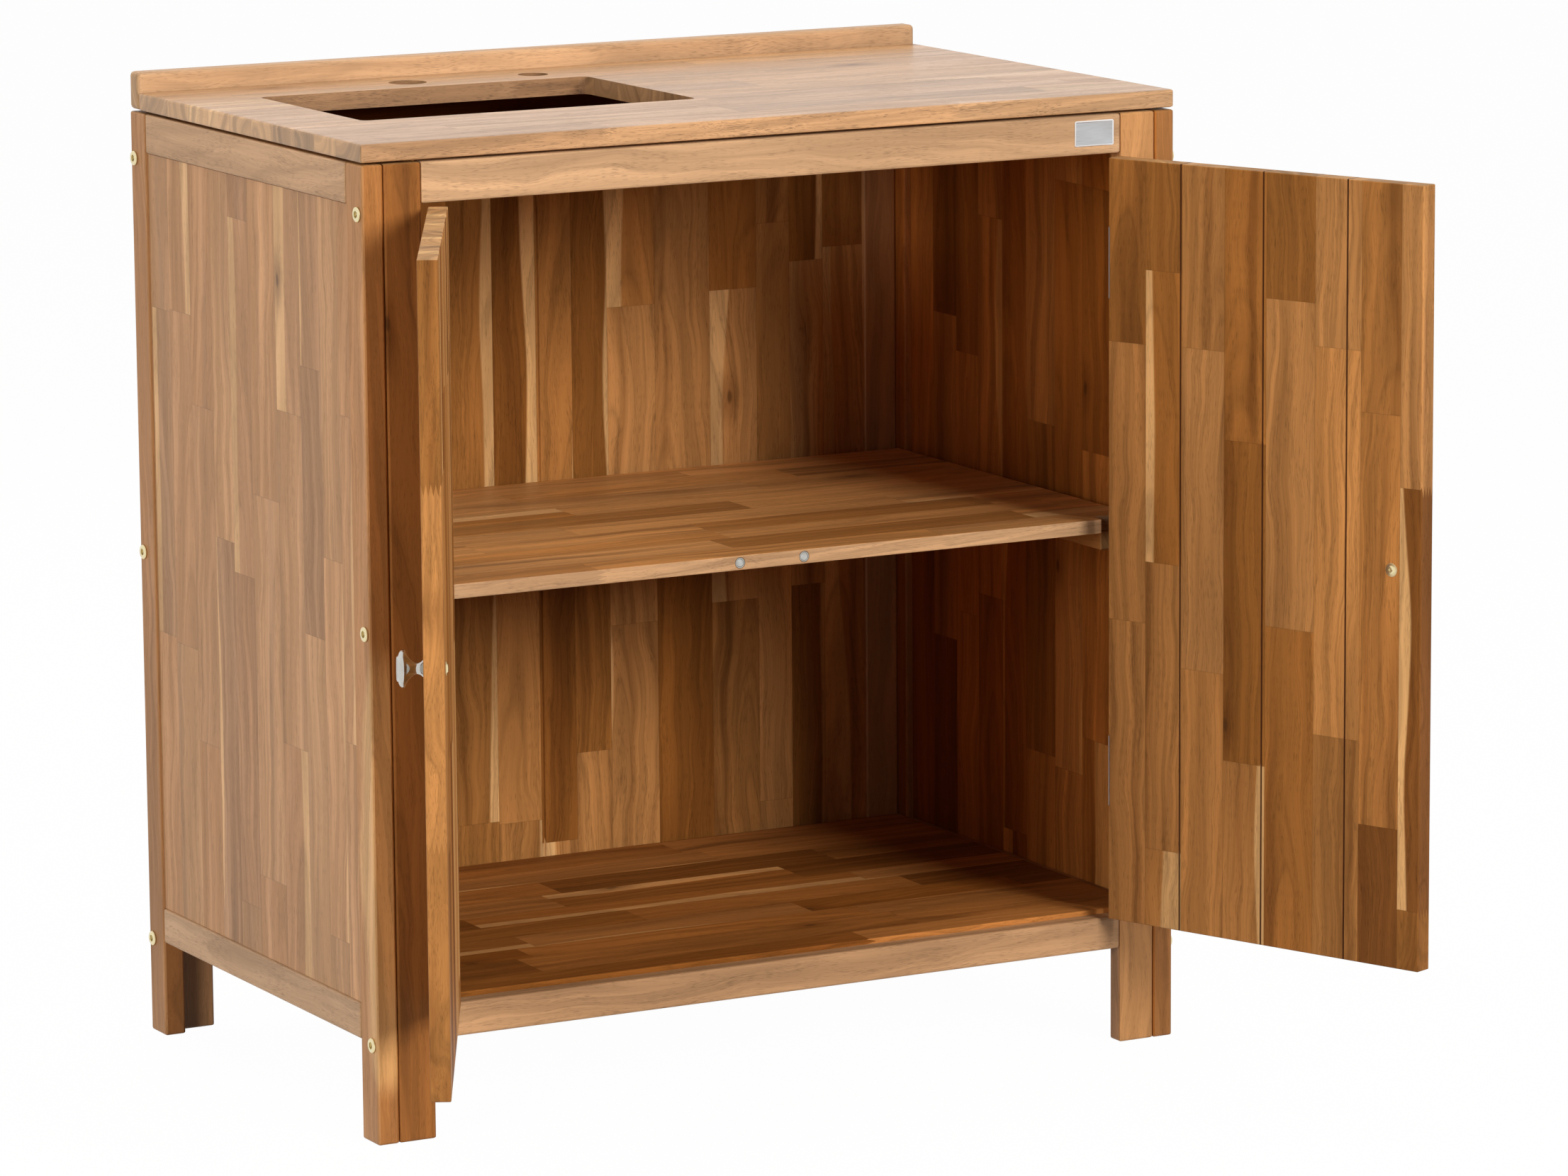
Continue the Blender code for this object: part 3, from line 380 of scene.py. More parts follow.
def sapwood(tree, share, moved, inside, chances):
    """A pale strip down one side of some staves, with a boundary that follows the grain."""
    first, second, third = chances
    drift = add(tree, VECTOR_MATH, {0: moved, 1: SAP_DRIFT_REPEATS}, operation="MULTIPLY")[0]
    drift = add(tree, NOISE, {"Vector": drift, "Scale": 1.0, "Detail": 1.0})["Fac"]
    turned_over = add(tree, MATH, {0: first, 1: 0.5}, operation="GREATER_THAN")[0]
    edge = add(tree, MATH, {0: inside, 1: turned_over}, operation="SUBTRACT")[0]
    edge = add(tree, MATH, {0: edge}, operation="ABSOLUTE")[0]
    edge = add(tree, MATH, {0: drift, 1: 0.9, 2: edge}, operation="MULTIPLY_ADD")[0]
    edge = add(tree, MATH, {0: second, 1: 0.50, 2: edge}, operation="MULTIPLY_ADD")[0]
    strip = add(tree, MAP_RANGE, {0: edge, 1: 1.42, 2: 1.48}, interpolation_type="SMOOTHSTEP")[0]
    has_sap = add(tree, MATH, {0: third, 1: share}, operation="LESS_THAN")[0]
    return add(tree, MATH, {0: strip, 1: has_sap}, operation="MULTIPLY")[0]


def knots(tree, bent):
    """Knots about 7 mm across on few staves, and the brown halo round each."""
    at = add(tree, VECTOR_MATH, {0: bent, 1: KNOT_REPEATS}, operation="MULTIPLY")[0]
    cell = add(tree, VORONOI, {"Vector": at, "Scale": 1.0}, voronoi_dimensions="2D")
    chance = add(tree, SEPARATE_COLOUR, {0: cell["Color"]})[0]
    knotty = add(tree, MATH, {0: chance, 1: 0.62}, operation="GREATER_THAN")[0]
    masks = []
    # Where each starts and is full, in cells from the middle, and how strong it is.
    for start, full, strength in ((0.024, 0.008, 0.70), (0.10, 0.02, 0.45)):
        mask = add(
            tree,
            MAP_RANGE,
            {0: cell["Distance"], 1: start, 2: full, 4: strength},
            interpolation_type="SMOOTHSTEP",
        )[0]
        masks.append(add(tree, MATH, {0: mask, 1: knotty}, operation="MULTIPLY")[0])
    return masks


def acacia_group(wood):
    """Edge-glued acacia: straight columns of staves, butted end to end, each with its own tone,
    long wandering grain, dark streaks, a strip of pale sapwood on some, and a few knots."""
    tree = bpy.data.node_groups.new("oiled_acacia_staves", "ShaderNodeTree")
    tree.interface.new_socket("Place", in_out="INPUT", socket_type="NodeSocketVector")
    for name in ("Stave width", "Stave length", "Seed", "Unevenness", "End grain", *QUALITIES):
        tree.interface.new_socket(name, in_out="INPUT", socket_type="NodeSocketFloat")
    for name, kind in (("Colour", "Color"), ("Roughness", "Float"), ("Normal", "Vector")):
        tree.interface.new_socket(name, in_out="OUTPUT", socket_type="NodeSocket" + kind)
    given = add(tree, "NodeGroupInput")
    place = given["Place"]
    across, along, through = add(tree, SEPARATE_XYZ, {0: place})
    inside, stave, side_seam, butt = lay_staves(tree, given, across, along, through)
    chances = add(tree, SEPARATE_COLOUR, {0: stave})
    first, second, third = chances

    # Each stave is cut from another place in the timber, and its grain sways a few millimetres.
    moved = add(tree, VECTOR_MATH, {0: stave, 1: TIMBER_SPREAD, 2: place}, operation="MULTIPLY_ADD")[0]
    sway = add(tree, VECTOR_MATH, {0: moved, 1: SWAY_REPEATS}, operation="MULTIPLY")[0]
    sway = add(tree, NOISE, {"Vector": sway, "Scale": 1.0, "Detail": 2.0})["Fac"]
    sway = add(tree, MATH, {0: sway, 1: 0.5}, operation="SUBTRACT")[0]
    bent = add(tree, COMBINE_XYZ, {0: sway})[0]
    bent = add(
        tree, VECTOR_MATH, {0: bent, 1: (GRAIN_SWAY, 0.0, 0.0), 2: moved}, operation="MULTIPLY_ADD"
    )[0]

    rings = growth_rings(tree, given["Stave width"], along, through, inside, sway, chances)
    layers = grain_layers(tree, bent)
    fine = layers["fine"]
    pores = add(
        tree, MATH, {0: layers["crowd"], 1: 0.45, 2: layers["pores"]}, operation="MULTIPLY_ADD"
    )[0]
    pores = add(tree, MAP_RANGE, {0: pores, 1: 0.80, 2: 0.92})[0]
    pores = add(tree, MATH, {0: pores, 1: given["Pores"]}, operation="MULTIPLY")[0]
    streak = add(
        tree, MAP_RANGE, {0: layers["streak"], 1: 0.48, 2: 0.74}, interpolation_type="SMOOTHSTEP"
    )[0]
    streak = add(tree, MATH, {0: streak, 1: given["Figure"]}, operation="MULTIPLY")[0]
    sap = sapwood(tree, given["Sap share"], moved, inside, chances)
    heart_of_knot, halo = knots(tree, bent)

    # Tone of the stave: some are redder and some greyer.
    tone = add(tree, MATH, {0: first, 1: 0.5}, operation="SUBTRACT")[0]
    tone = add(tree, MATH, {0: tone, 1: given["Spread"], 2: given["Lift"]}, operation="MULTIPLY_ADD")[0]
    hearts = ((0.0, wood.dark_heart), (1.0, wood.light_heart), (0.42, wood.heart))
    tone = add(tree, RAMP, {0: tone}, stops=hearts)["Color"]
    casts = ((0.0, (0.92, 0.95, 1.0)), (1.0, (1.0, 0.93, 0.80)))
    cast = add(tree, RAMP, {0: second}, stops=casts)["Color"]
    times = {"data_type": "RGBA", "blend_type": "MULTIPLY"}
    tone = add(tree, MIX, {0: 1.0, 6: tone, 7: cast}, **times)[2]

    # Streaks, sapwood, the pale face that stands for bleaching and painted sheen and light, and knots, each
    # on top of the last.
    for share, tint in (
        (streak, wood.dark_heart),
        (sap, wood.sapwood),
        (given["Bleach"], wood.dry_and_painted_light),
        (halo, wood.dark_heart),
        (heart_of_knot, wood.knot),
    ):
        tone = add(tree, MIX, {0: share, 6: tone, 7: rgba(tint)}, data_type="RGBA")[2]

    # Cut ends are paler, with plainer rings, and each takes up its own amount of oil.
    ends = add(tree, MIX, {0: 0.45, 6: tone, 7: rgba(wood.end_grain)}, data_type="RGBA")[2]
    end_rings = add(tree, MAP_RANGE, {0: rings, 1: 0.32, 2: 0.68, 3: 0.62, 4: 1.14})[0]
    taken_up = add(tree, MAP_RANGE, {0: third, 3: 1.20, 4: 0.72})[0]
    end_rings = add(tree, MATH, {0: end_rings, 1: taken_up}, operation="MULTIPLY")[0]
    ends = add(tree, MIX, {0: 1.0, 6: ends, 7: end_rings}, **times)[2]

    # A thin dark line where a year's growth ends, on a face that was cut along the rings.
    face_rings = add(tree, MAP_RANGE, {0: rings, 1: 0.30, 2: 0.70, 3: 0.80, 4: 1.14})[0]
    late = add(tree, MATH, {0: rings, 1: 0.5}, operation="SUBTRACT")[0]
    late = add(tree, MATH, {0: late}, operation="ABSOLUTE")[0]
    late = add(tree, MAP_RANGE, {0: late, 1: 0.0, 2: 0.045, 3: -0.36, 4: 0.0})[0]
    late = add(tree, MATH, {0: late, 1: given["Figure"], 2: 1.0}, operation="MULTIPLY_ADD")[0]
    shade = add(tree, MATH, {0: face_rings, 1: late}, operation="MULTIPLY")[0]

    # The face's shade: rings, fine grain, soft bands and pores.
    fine_shade = add(tree, MAP_RANGE, {0: fine, 1: 0.30, 2: 0.70, 3: -0.15, 4: 0.12})[0]
    fine_shade = add(tree, MATH, {0: fine_shade, 1: given["Pores"], 2: 1.0}, operation="MULTIPLY_ADD")[0]
    slow_shade = add(tree, MAP_RANGE, {0: layers["slow"], 1: 0.30, 2: 0.70, 3: 0.84, 4: 1.15})[0]
    pore_shade = add(tree, MAP_RANGE, {0: pores, 3: 1.0, 4: 0.50})[0]
    for layer in (fine_shade, slow_shade, pore_shade):
        shade = add(tree, MATH, {0: shade, 1: layer}, operation="MULTIPLY")[0]
    face = add(tree, MIX, {0: 1.0, 6: tone, 7: shade}, **times)[2]
    shown = add(tree, MIX, {0: given["End grain"], 6: face, 7: ends}, data_type="RGBA")[2]

    # Glue lines, 0.5 mm wide, between columns and at the butts.
    off = add(tree, MATH, {0: side_seam, 1: given["Stave width"]}, operation="MULTIPLY")[0]
    butt = add(tree, MATH, {0: butt, 1: given["Stave length"]}, operation="MULTIPLY")[0]
    seam = add(tree, MATH, {0: off, 1: butt}, operation="MINIMUM")[0]
    seam = add(tree, MAP_RANGE, {0: seam, 1: 0.0001, 2: 0.0006, 3: 0.80, 4: 1.0})[0]
    shown = add(tree, MIX, {0: 1.0, 6: shown, 7: seam}, **times)[2]
    # The oil's colour, and the deeper colour of shade painted on shaded pieces.
    shown = add(tree, MIX, {0: given["Warmth"], 6: shown, 7: OIL_FILTER}, **times)[2]

    gloss = add(tree, MAP_RANGE, {0: shade, 1: 0.7, 2: 1.25, 3: 1.15, 4: 0.85})[0]
    gloss = add(tree, MATH, {0: gloss, 1: given["Dullness"]}, operation="MULTIPLY")[0]
    relief = add(tree, MATH, {0: pores, 1: -0.6, 2: fine}, operation="MULTIPLY_ADD")[0]
    relief = add(tree, MATH, {0: seam, 1: 1.5, 2: relief}, operation="MULTIPLY_ADD")[0]
    bump = add(tree, BUMP, {"Strength": 0.30, "Distance": 0.0002, "Height": relief})[0]
    add(tree, "NodeGroupOutput", {"Colour": shown, "Roughness": gloss, "Normal": bump})
    return tree


def bleach_and_paint_light(tree, surface, staves, normal, shine, bleached):
    """Keeps bleaching to the face that the entry gives. On the other faces it paints shade, darker
    and warmer, and paints light instead where the entry's brightness is above one. Gives the colour."""
    outward, first, last, painted_shade_warmth, painted_brightness = bleached
    out = add(tree, VECTOR_MATH, {0: normal, 1: outward}, operation="DOT_PRODUCT")["Value"]
    out = add(tree, MAP_RANGE, {0: out, 1: first, 2: last})[0]
    # On the other faces the warmth paints the deeper colour of shade.
    for setting, elsewhere in (("Bleach", 0.0), ("Warmth", painted_shade_warmth)):
        there = staves.inputs[setting].default_value
        share = add(tree, MAP_RANGE, {0: out, 3: elsewhere, 4: there})[0]
        connect(tree, staves, {setting: share})
    sheen = add(tree, MAP_RANGE, {0: out, 3: painted_brightness**4 * shine, 4: shine})[0]
    connect(tree, surface, {"Specular IOR Level": sheen})
    # The other faces' brightness is scaled: below one this paints shade on them, above one it paints light.
    left = add(tree, MAP_RANGE, {0: out, 3: painted_brightness, 4: 1.0})[0]
    return add(
        tree,
        MIX,
        {0: 1.0, 6: staves.outputs["Colour"], 7: left},
        data_type="RGBA",
        blend_type="MULTIPLY",
    )[2]


def vee_dirt_and_painted_shade(tree, shown, place, joint_and_wall_dark):
    """Oil and dust in the V-joints between a door's boards darken them, and the same dark colour paints the
    shade in the grooves. Gives the colour.
    """
    from_left = add(tree, SEPARATE_XYZ, {0: place})[0]
    off = add(tree, MATH, {0: from_left, 1: VEE_PITCH / 2}, operation="PINGPONG")[0]
    # Dark colour painted along each V-joint: oil and dust, and painted shade in the groove.
    vee_dirt_and_shade = add(tree, MAP_RANGE, {0: off, 1: 0.0006, 2: 0.0013, 3: 0.92, 4: 0.0})[0]
    return add(tree, MIX, {0: vee_dirt_and_shade, 6: shown, 7: rgba(joint_and_wall_dark)}, data_type="RGBA")[2]


def darker_sawn_walls(tree, shown, place, normal, upward, half_sizes, joint_and_wall_dark):
    """Paints the sawn walls of openings, which lie inside the board's outer edges, darker: half
    sizes are the board's, across and along its grain. Gives the colour."""
    facing_up = add(tree, VECTOR_MATH, {0: normal, 1: upward}, operation="DOT_PRODUCT")["Value"]
    facing_up = add(tree, MATH, {0: facing_up}, operation="ABSOLUTE")[0]
    sawn = add(tree, MAP_RANGE, {0: facing_up, 1: 0.3, 2: 0.7, 3: 1.0, 4: 0.0})[0]
    for at, half in zip(add(tree, SEPARATE_XYZ, {0: place}), half_sizes):
        at = add(tree, MATH, {0: at}, operation="ABSOLUTE")[0]
        within = add(tree, MATH, {0: at, 1: half - 0.01}, operation="LESS_THAN")[0]
        sawn = add(tree, MATH, {0: sawn, 1: within}, operation="MULTIPLY")[0]
    # The sawn walls are painted darker by this share of the dark colour.
    sawn = add(tree, MATH, {0: sawn, 1: 0.45}, operation="MULTIPLY")[0]
    return add(tree, MIX, {0: sawn, 6: shown, 7: rgba(joint_and_wall_dark)}, data_type="RGBA")[2]


def oiled_acacia(node, group, joint_and_wall_dark, seed, run, wide, long, look):
    """Acacia for one solid: run holds the directions across and along its grain, look its entry
    in LOOKS."""
    across, along = run
    upward = across.cross(along)
    turn = Matrix((across, along, upward))
    low, high, middle = corners(node)
    *qualities, shine = LOOKS[look]
    made, tree, surface = new_finish("oiled_acacia_" + node)
    place = add(tree, TEXTURE_PLACE)["Object"]
    place = add(
        tree,
        MAPPING,
        {"Vector": place, "Rotation": turn.to_euler(), "Location": -(turn @ middle)},
    )[0]
    normal = add(tree, "ShaderNodeNewGeometry")["Normal"]
    end = add(tree, VECTOR_MATH, {0: normal, 1: along}, operation="DOT_PRODUCT")["Value"]
    end = add(tree, MATH, {0: end}, operation="ABSOLUTE")[0]
    end = add(tree, MAP_RANGE, {0: end, 1: 0.55, 2: 0.85})[0]
    values = dict(zip(QUALITIES, qualities))
    values.update({"Place": place, "End grain": end, "Seed": seed})
    values.update({"Stave width": wide, "Stave length": long})
    values["Unevenness"] = 0.0 if wide == SOLID else WIDTH_UNEVENNESS
    staves = add(tree, "ShaderNodeGroup", values, node_tree=group)[0].node
    shown = staves.outputs["Colour"]
    for start, bleached in BLEACH_AND_PAINTED_LIGHT.items():
        if node.startswith(start):
            shown = bleach_and_paint_light(tree, surface, staves, normal, shine, bleached)
    if node.endswith("_door"):
        shown = vee_dirt_and_painted_shade(tree, shown, place, joint_and_wall_dark)
    if node == "worktop":
        half_sizes = [abs((high - low).dot(way)) / 2 for way in run]
        shown = darker_sawn_walls(tree, shown, place, normal, upward, half_sizes, joint_and_wall_dark)
    connect(tree, surface, {"Base Color": shown, "Roughness": staves.outputs["Roughness"]})
    connect(tree, surface, {"Normal": staves.outputs["Normal"], "IOR": OIL_IOR})
    surface.inputs["Specular IOR Level"].default_value = shine
    return made


def plated_metal(name, tint, rough, smudge_mm, grain_mm):
    """Plated metal: a mirror that is softened by handling marks and by the grain of the polish."""
    made, tree, surface = new_finish(name)
    place = add(tree, TEXTURE_PLACE)["Object"]
    place = add(tree, MAPPING, {"Vector": place})[0]
    smudge, grain = (
        add(tree, NOISE, {"Vector": place, "Scale": 1000 / size_mm, "Detail": detail})["Fac"]
        for size_mm, detail in ((smudge_mm, 3.0), (grain_mm, 2.0))
    )
    tints = ((0.30, [0.86 * c for c in tint]), (0.70, tint))
    tarnish = add(tree, RAMP, {0: smudge}, stops=tints)["Color"]
    gloss = add(tree, MAP_RANGE, {0: smudge, 1: 0.3, 2: 0.7, 3: rough * 1.5, 4: rough * 0.8})[0]
    bump = add(tree, BUMP, {"Strength": 0.12, "Distance": 0.00005, "Height": grain})[0]
    connect(tree, surface, {"Metallic": 1.0, "Base Color": tarnish, "Roughness": gloss, "Normal": bump})
    return made


def brushed_plate(name, tint, middle, field):
    """Brushed aluminium: fine lines along the plate spread the light across them. The rim round
    the field, whose half width and half height field holds, is polished and brighter."""
    made, tree, surface = new_finish(name)
    place = add(tree, TEXTURE_PLACE)["Object"]
    off = add(tree, MAPPING, {"Vector": place, "Location": -middle})[0]
    off = add(tree, VECTOR_MATH, {0: off}, operation="ABSOLUTE")[0]
    off_x, _, off_z = add(tree, SEPARATE_XYZ, {0: off})
    beside = add(tree, MATH, {0: off_x, 1: field[0]}, operation="GREATER_THAN")[0]
    above = add(tree, MATH, {0: off_z, 1: field[1]}, operation="GREATER_THAN")[0]
    rim = add(tree, MATH, {0: beside, 1: above}, operation="MAXIMUM")[0]
    # Lines 0.3 mm apart and about 20 mm long, coarser than the real brushing so that they show.
    place = add(tree, MAPPING, {"Vector": place, "Scale": (50.0, 3300.0, 3300.0)})[0]
    brush = add(tree, NOISE, {"Vector": place, "Scale": 1.0, "Detail": 2.0})["Fac"]
    tints = ((0.30, [0.80 * c for c in tint]), (0.70, tint))
    tarnish = add(tree, RAMP, {0: brush}, stops=tints)["Color"]
    tarnish = add(tree, MIX, {0: rim, 6: tarnish, 7: (0.95, 0.95, 0.95, 1.0)}, data_type="RGBA")[2]
    gloss = add(tree, MAP_RANGE, {0: brush, 1: 0.3, 2: 0.7, 3: 0.42, 4: 0.28})[0]
    bump = add(tree, BUMP, {"Strength": 0.2, "Distance": 0.00005, "Height": brush})[0]
    connect(tree, surface, {"Metallic": 1.0, "Base Color": tarnish, "Roughness": gloss, "Normal": bump})
    return made


def corners(node):
    """The low and high corners of a solid's box, and its middle."""
    low, high = (Vector(corner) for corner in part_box(node))
    return low, high, (low + high) / 2


def hinge(side):
    """A door's joint, and the place of its pin at floor level."""
    joint = next(j for j in frame["joints"] if j["name"] == side + "_door_hinge")
    return joint, Matrix.Translation((*joint["pos_m"][:2], 0))


def open_place(side):
    """Turns a shut door's own place, measured from its hinge pin, to where the photo has it."""
    joint, pin = hinge(side)
    return pin @ Matrix.Rotation(-math.radians(joint["range_deg"][1]), 4, Vector(joint["axis"]))


def facing(direction, place):
    """A matrix that stands a piece modelled along Z at a place, along a direction."""
    return Matrix.Translation(place) @ Vector(direction).to_track_quat("Z", "Y").to_matrix().to_4x4()


def at_knob(side, direction, behind_face):
    """Where a piece stands on the axis of a door's knob, so far behind the door's face."""
    height = corners(side + "_knob")[2].z
    place = (DOOR_REACH[side] * KNOB_FROM_PIN, DOOR_FACE_FROM_PIN + behind_face, height)
    return open_place(side) @ facing(direction, place)


def plate_middle():
    """Middle of the bare plate's back, on the face of the front top rail."""
    low, _, middle = corners("front_top_rail")
    return Vector((middle.x + PLATE_ASIDE, low.y, middle.z + PLATE_RISE))


def metal(name):
    """A fitting's finish, made by the metal finish."""
    return bpy.data.materials[name]


def dress(piece, finish):
    """Gives a piece one finish all over."""
    piece.data.materials.clear()
    piece.data.materials.append(finish)


def begin():
    """Nothing selected, and no piece in edit mode."""
    if bpy.context.object and bpy.context.object.mode != "OBJECT":
        bpy.ops.object.mode_set(mode="OBJECT")
    bpy.ops.object.select_all(action="DESELECT")


def pick_up(piece):
    """Only this piece selected and active."""
    begin()
    bpy.context.view_layer.objects.active = piece
    piece.select_set(True)


def turned(name, profile, sides):
    """A round piece built up ring by ring from a disc. Profile holds radius and height."""
    begin()
    bpy.ops.mesh.primitive_circle_add(vertices=sides, radius=profile[0][0], fill_type="NGON")
    made = bpy.context.object
    made.name = made.data.name = name
    bpy.ops.object.mode_set(mode="EDIT")
    bpy.ops.mesh.select_all(action="SELECT")
    for (narrow, low), (wide, high) in zip(profile, profile[1:]):
        bpy.ops.mesh.extrude_region_move(TRANSFORM_OT_translate={"value": (0, 0, high - low)})
        bpy.ops.transform.resize(
            value=(wide / narrow, wide / narrow, 1), center_override=(0, 0, high)
        )
    bpy.ops.mesh.select_all(action="SELECT")
    bpy.ops.mesh.normals_make_consistent(inside=False)
    bpy.ops.object.mode_set(mode="OBJECT")
    return made


def cut_away(piece, cutter):
    """Takes the cutter's shape out of the piece."""
    pick_up(piece)
    bite = piece.modifiers.new("recess", "BOOLEAN")
    bite.operation, bite.solver, bite.object = "DIFFERENCE", "EXACT", cutter
    bpy.ops.object.modifier_apply(modifier=bite.name)
    bpy.data.objects.remove(cutter)


def cross_recess(piece, arm, wide, top, deep):
    """A cross slot in a screw head."""
    for size in ((arm, wide), (wide, arm)):
        begin()
        bpy.ops.mesh.primitive_cube_add(size=1, location=(0, 0, top))
        cutter = bpy.context.object
        cutter.scale = (*size, 2 * deep)
        bpy.ops.object.transform_apply(location=True, rotation=True, scale=True)
        cut_away(piece, cutter)


def smooth(piece, angle):
    """Smooth shading, except at edges sharper than the angle in degrees."""
    pick_up(piece)
    bpy.ops.object.shade_smooth_by_angle(angle=math.radians(angle))


def soften(piece, wide):
    """Small bevels on sharp edges, then smooth shading between them."""
    pick_up(piece)
    round_off = piece.modifiers.new("edges", "BEVEL")
    round_off.width, round_off.segments = wide, 2
    round_off.limit_method, round_off.angle_limit = "ANGLE", math.radians(SHARP_EDGE)
    bpy.ops.object.modifier_apply(modifier=round_off.name)
    smooth(piece, SHARP_EDGE)


def seat(piece, matrix, finish):
    """Puts the selected piece in its place and gives it its finish."""
    piece.matrix_world = matrix
    bpy.ops.object.transform_apply(location=True, rotation=True, scale=True)
    dress(piece, metal(finish))


def set_copies(model, places, finish):
    """Copies a modelled piece to each place, then drops the model. Places hold a piece's name,
    its matrix, its body and the solid that it stands for."""
    for name, matrix, body, node in places:
        pick_up(model)
        bpy.ops.object.duplicate(linked=False)
        made = bpy.context.object
        made.name = made.data.name = name
        seat(made, matrix, finish)
        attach(made, body)
        if node:
            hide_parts(node)
    bpy.data.objects.remove(model)


def grain_table():
    """Each wooden node: the directions across and along its grain, its stave sizes, where None
    is the cabinet's own, and its look."""
    upright_side = (Y_AXIS, Z_AXIS)
    upright_front = (X_AXIS, Z_AXIS)
    flat = (Y_AXIS, X_AXIS)
    level_side = (Z_AXIS, Y_AXIS)
    level_front = (Z_AXIS, X_AXIS)
    crosswise = (X_AXIS, Y_AXIS)
    panels = {
        "left_side_panel": (upright_side, "side"),
        "right_side_panel": (upright_side, "right side"),
        "back_panel": (upright_front, "back"),
        "worktop": (flat, "top"),
        "shelf": (flat, "shelf"),
        "floor_panel": (flat, "floor"),
    }
    boards = {
        # This stile's look paints the shade of the open left door on it.
        "front_left_stile": (upright_front, "dark stile"),
        "front_right_stile": (upright_front, "pale stile"),
        "upstand": (level_front, "rail"),
    }
    for side in DOOR_REACH:
        panels[side + "_door"] = ((open_place(side).to_3x3() @ X_AXIS, Z_AXIS), "door")
        boards["back_" + side + "_stile"] = (upright_front, "stile")
        boards["worktop_" + side + "_batten"] = (crosswise, "hidden")
        for part in ("front", "rear"):
            boards["%s_side_%s_stile" % (side, part)] = (upright_side, "stile")
        for part in ("top", "bottom"):
            boards["%s_side_%s_rail" % (side, part)] = (level_side, "rail")
        for part in ("shelf", "floor"):
            boards["%s_%s_cleat" % (part, side)] = (level_side, "hidden")
    for part in ("front", "back"):
        boards[part + "_top_rail"] = (level_front, "rail")
        boards[part + "_bottom_rail"] = (level_front, "low rail")
    table = {node: (run, None, None, look) for node, (run, look) in panels.items()}
    table.update({node: (run, SOLID, BOARD_LENGTH, look) for node, (run, look) in boards.items()})
    return table


class CABINET_OT_wood(bpy.types.Operator):
    """Give every wooden piece oiled acacia, with the grain along it"""

    bl_idname = "cabinet.wood"
    bl_label = "Oiled acacia"

    def execute(self, context):
        wood = context.scene.cabinet_wood
        group = acacia_group(wood)
        for i, (node, (run, wide, long, look)) in enumerate(sorted(grain_table().items())):
            wide, long = wide or wood.stave_width, long or wood.stave_length
            seed = i + wood.pick + (wood.shelf_pick if node == "shelf" else 0)
            finish = oiled_acacia(node, group, wood.joint_and_wall_dark, seed, run, wide, long, look)
            dress(frame["nodes"][node], finish)
        return {"FINISHED"}


class CABINET_OT_metal(bpy.types.Operator):
    """Make the plated finishes, and give the hinge leaves theirs"""

    bl_idname = "cabinet.metal"
    bl_label = "Plated metal"

    def execute(self, context):
        tints = context.scene.cabinet_metal
        # Bright chrome over polished zinc: a near mirror with faint finger marks.
        plated_metal("bright_chrome", tints.chrome, 0.09, 9.0, 0.6)
        # Brass flash on turned steel: warm and satin, a little blotched.
        plated_metal("brassed_steel", tints.brass, 0.30, 3.0, 0.4)
        # Zinc on pressed steel: grey, satin, with a cloudy passivation.
        plated_metal("zinced_steel", tints.zinc, 0.36, 5.0, 0.5)
        # Nickel on a sintered magnet: pale and a little rough.
        plated_metal("nickelled_magnet", tints.nickel, 0.24, 3.0, 0.3)
        sizes = context.scene.cabinet_fittings
        field = (sizes.plate_width / 2 - PLATE_RIM, sizes.plate_height / 2 - PLATE_RIM)
        brushed_plate("brushed_aluminium", tints.plate, plate_middle(), field)
        finishes = {"knob": "bright_chrome", "screw": "brassed_steel", "bolt": "brassed_steel"}
        finishes.update({"leaf": "zinced_steel", "magnet": "nickelled_magnet"})
        for name, node in frame["nodes"].items():
            kind = name.split("_")[-1]
            if kind in finishes:
                dress(node, metal(finishes[kind]))
        return {"FINISHED"}


class CABINET_OT_knobs(bpy.types.Operator):
    """Turn the two mushroom knobs"""

    bl_idname = "cabinet.knobs"
    bl_label = "Knobs"

    def execute(self, context):
        sizes = context.scene.cabinet_fittings
        wide, long = sizes.knob_radius, sizes.knob_length
        # Foot, hollow neck, cone that opens to the rim, rounded rim, step and flat front.
        profile = [(0.00700, 0.0), (0.00725, 0.0003), (0.00725, 0.0010), (0.0068, 0.0014)]
        profile += [(0.0058, 0.0024), (0.0050, 0.0038), (0.0046, 0.0055), (0.0047, 0.0070)]
        profile += [(0.0053, 0.0086), (0.0064, 0.0102), (0.0080, 0.0118), (0.0100, 0.0134)]
        profile += [(0.0124, 0.0147), (wide - 0.0010, 0.0156), (wide - 0.0003, long - 0.0066)]
        profile += [(wide, long - 0.0060), (wide, long - 0.0050), (wide - 0.0003, long - 0.0041)]
        profile += [(wide - 0.0010, long - 0.0031), (wide - 0.0022, long - 0.0022)]
        profile += [(wide - 0.0038, long - 0.0015), (0.0107, long - 0.0012), (0.0104, long - 0.0005)]
        profile += [(0.0098, long), (0.0060, long), (0.0020, long)]
        model = turned("knob_model", profile, 64)
        smooth(model, 40)
        places = []
        for side in DOOR_REACH:
            place = at_knob(side, -Y_AXIS, 0)
            places.append(("turned_knob_" + side, place, side + "_door_assembly", side + "_knob"))
        set_copies(model, places, "bright_chrome")
        return {"FINISHED"}


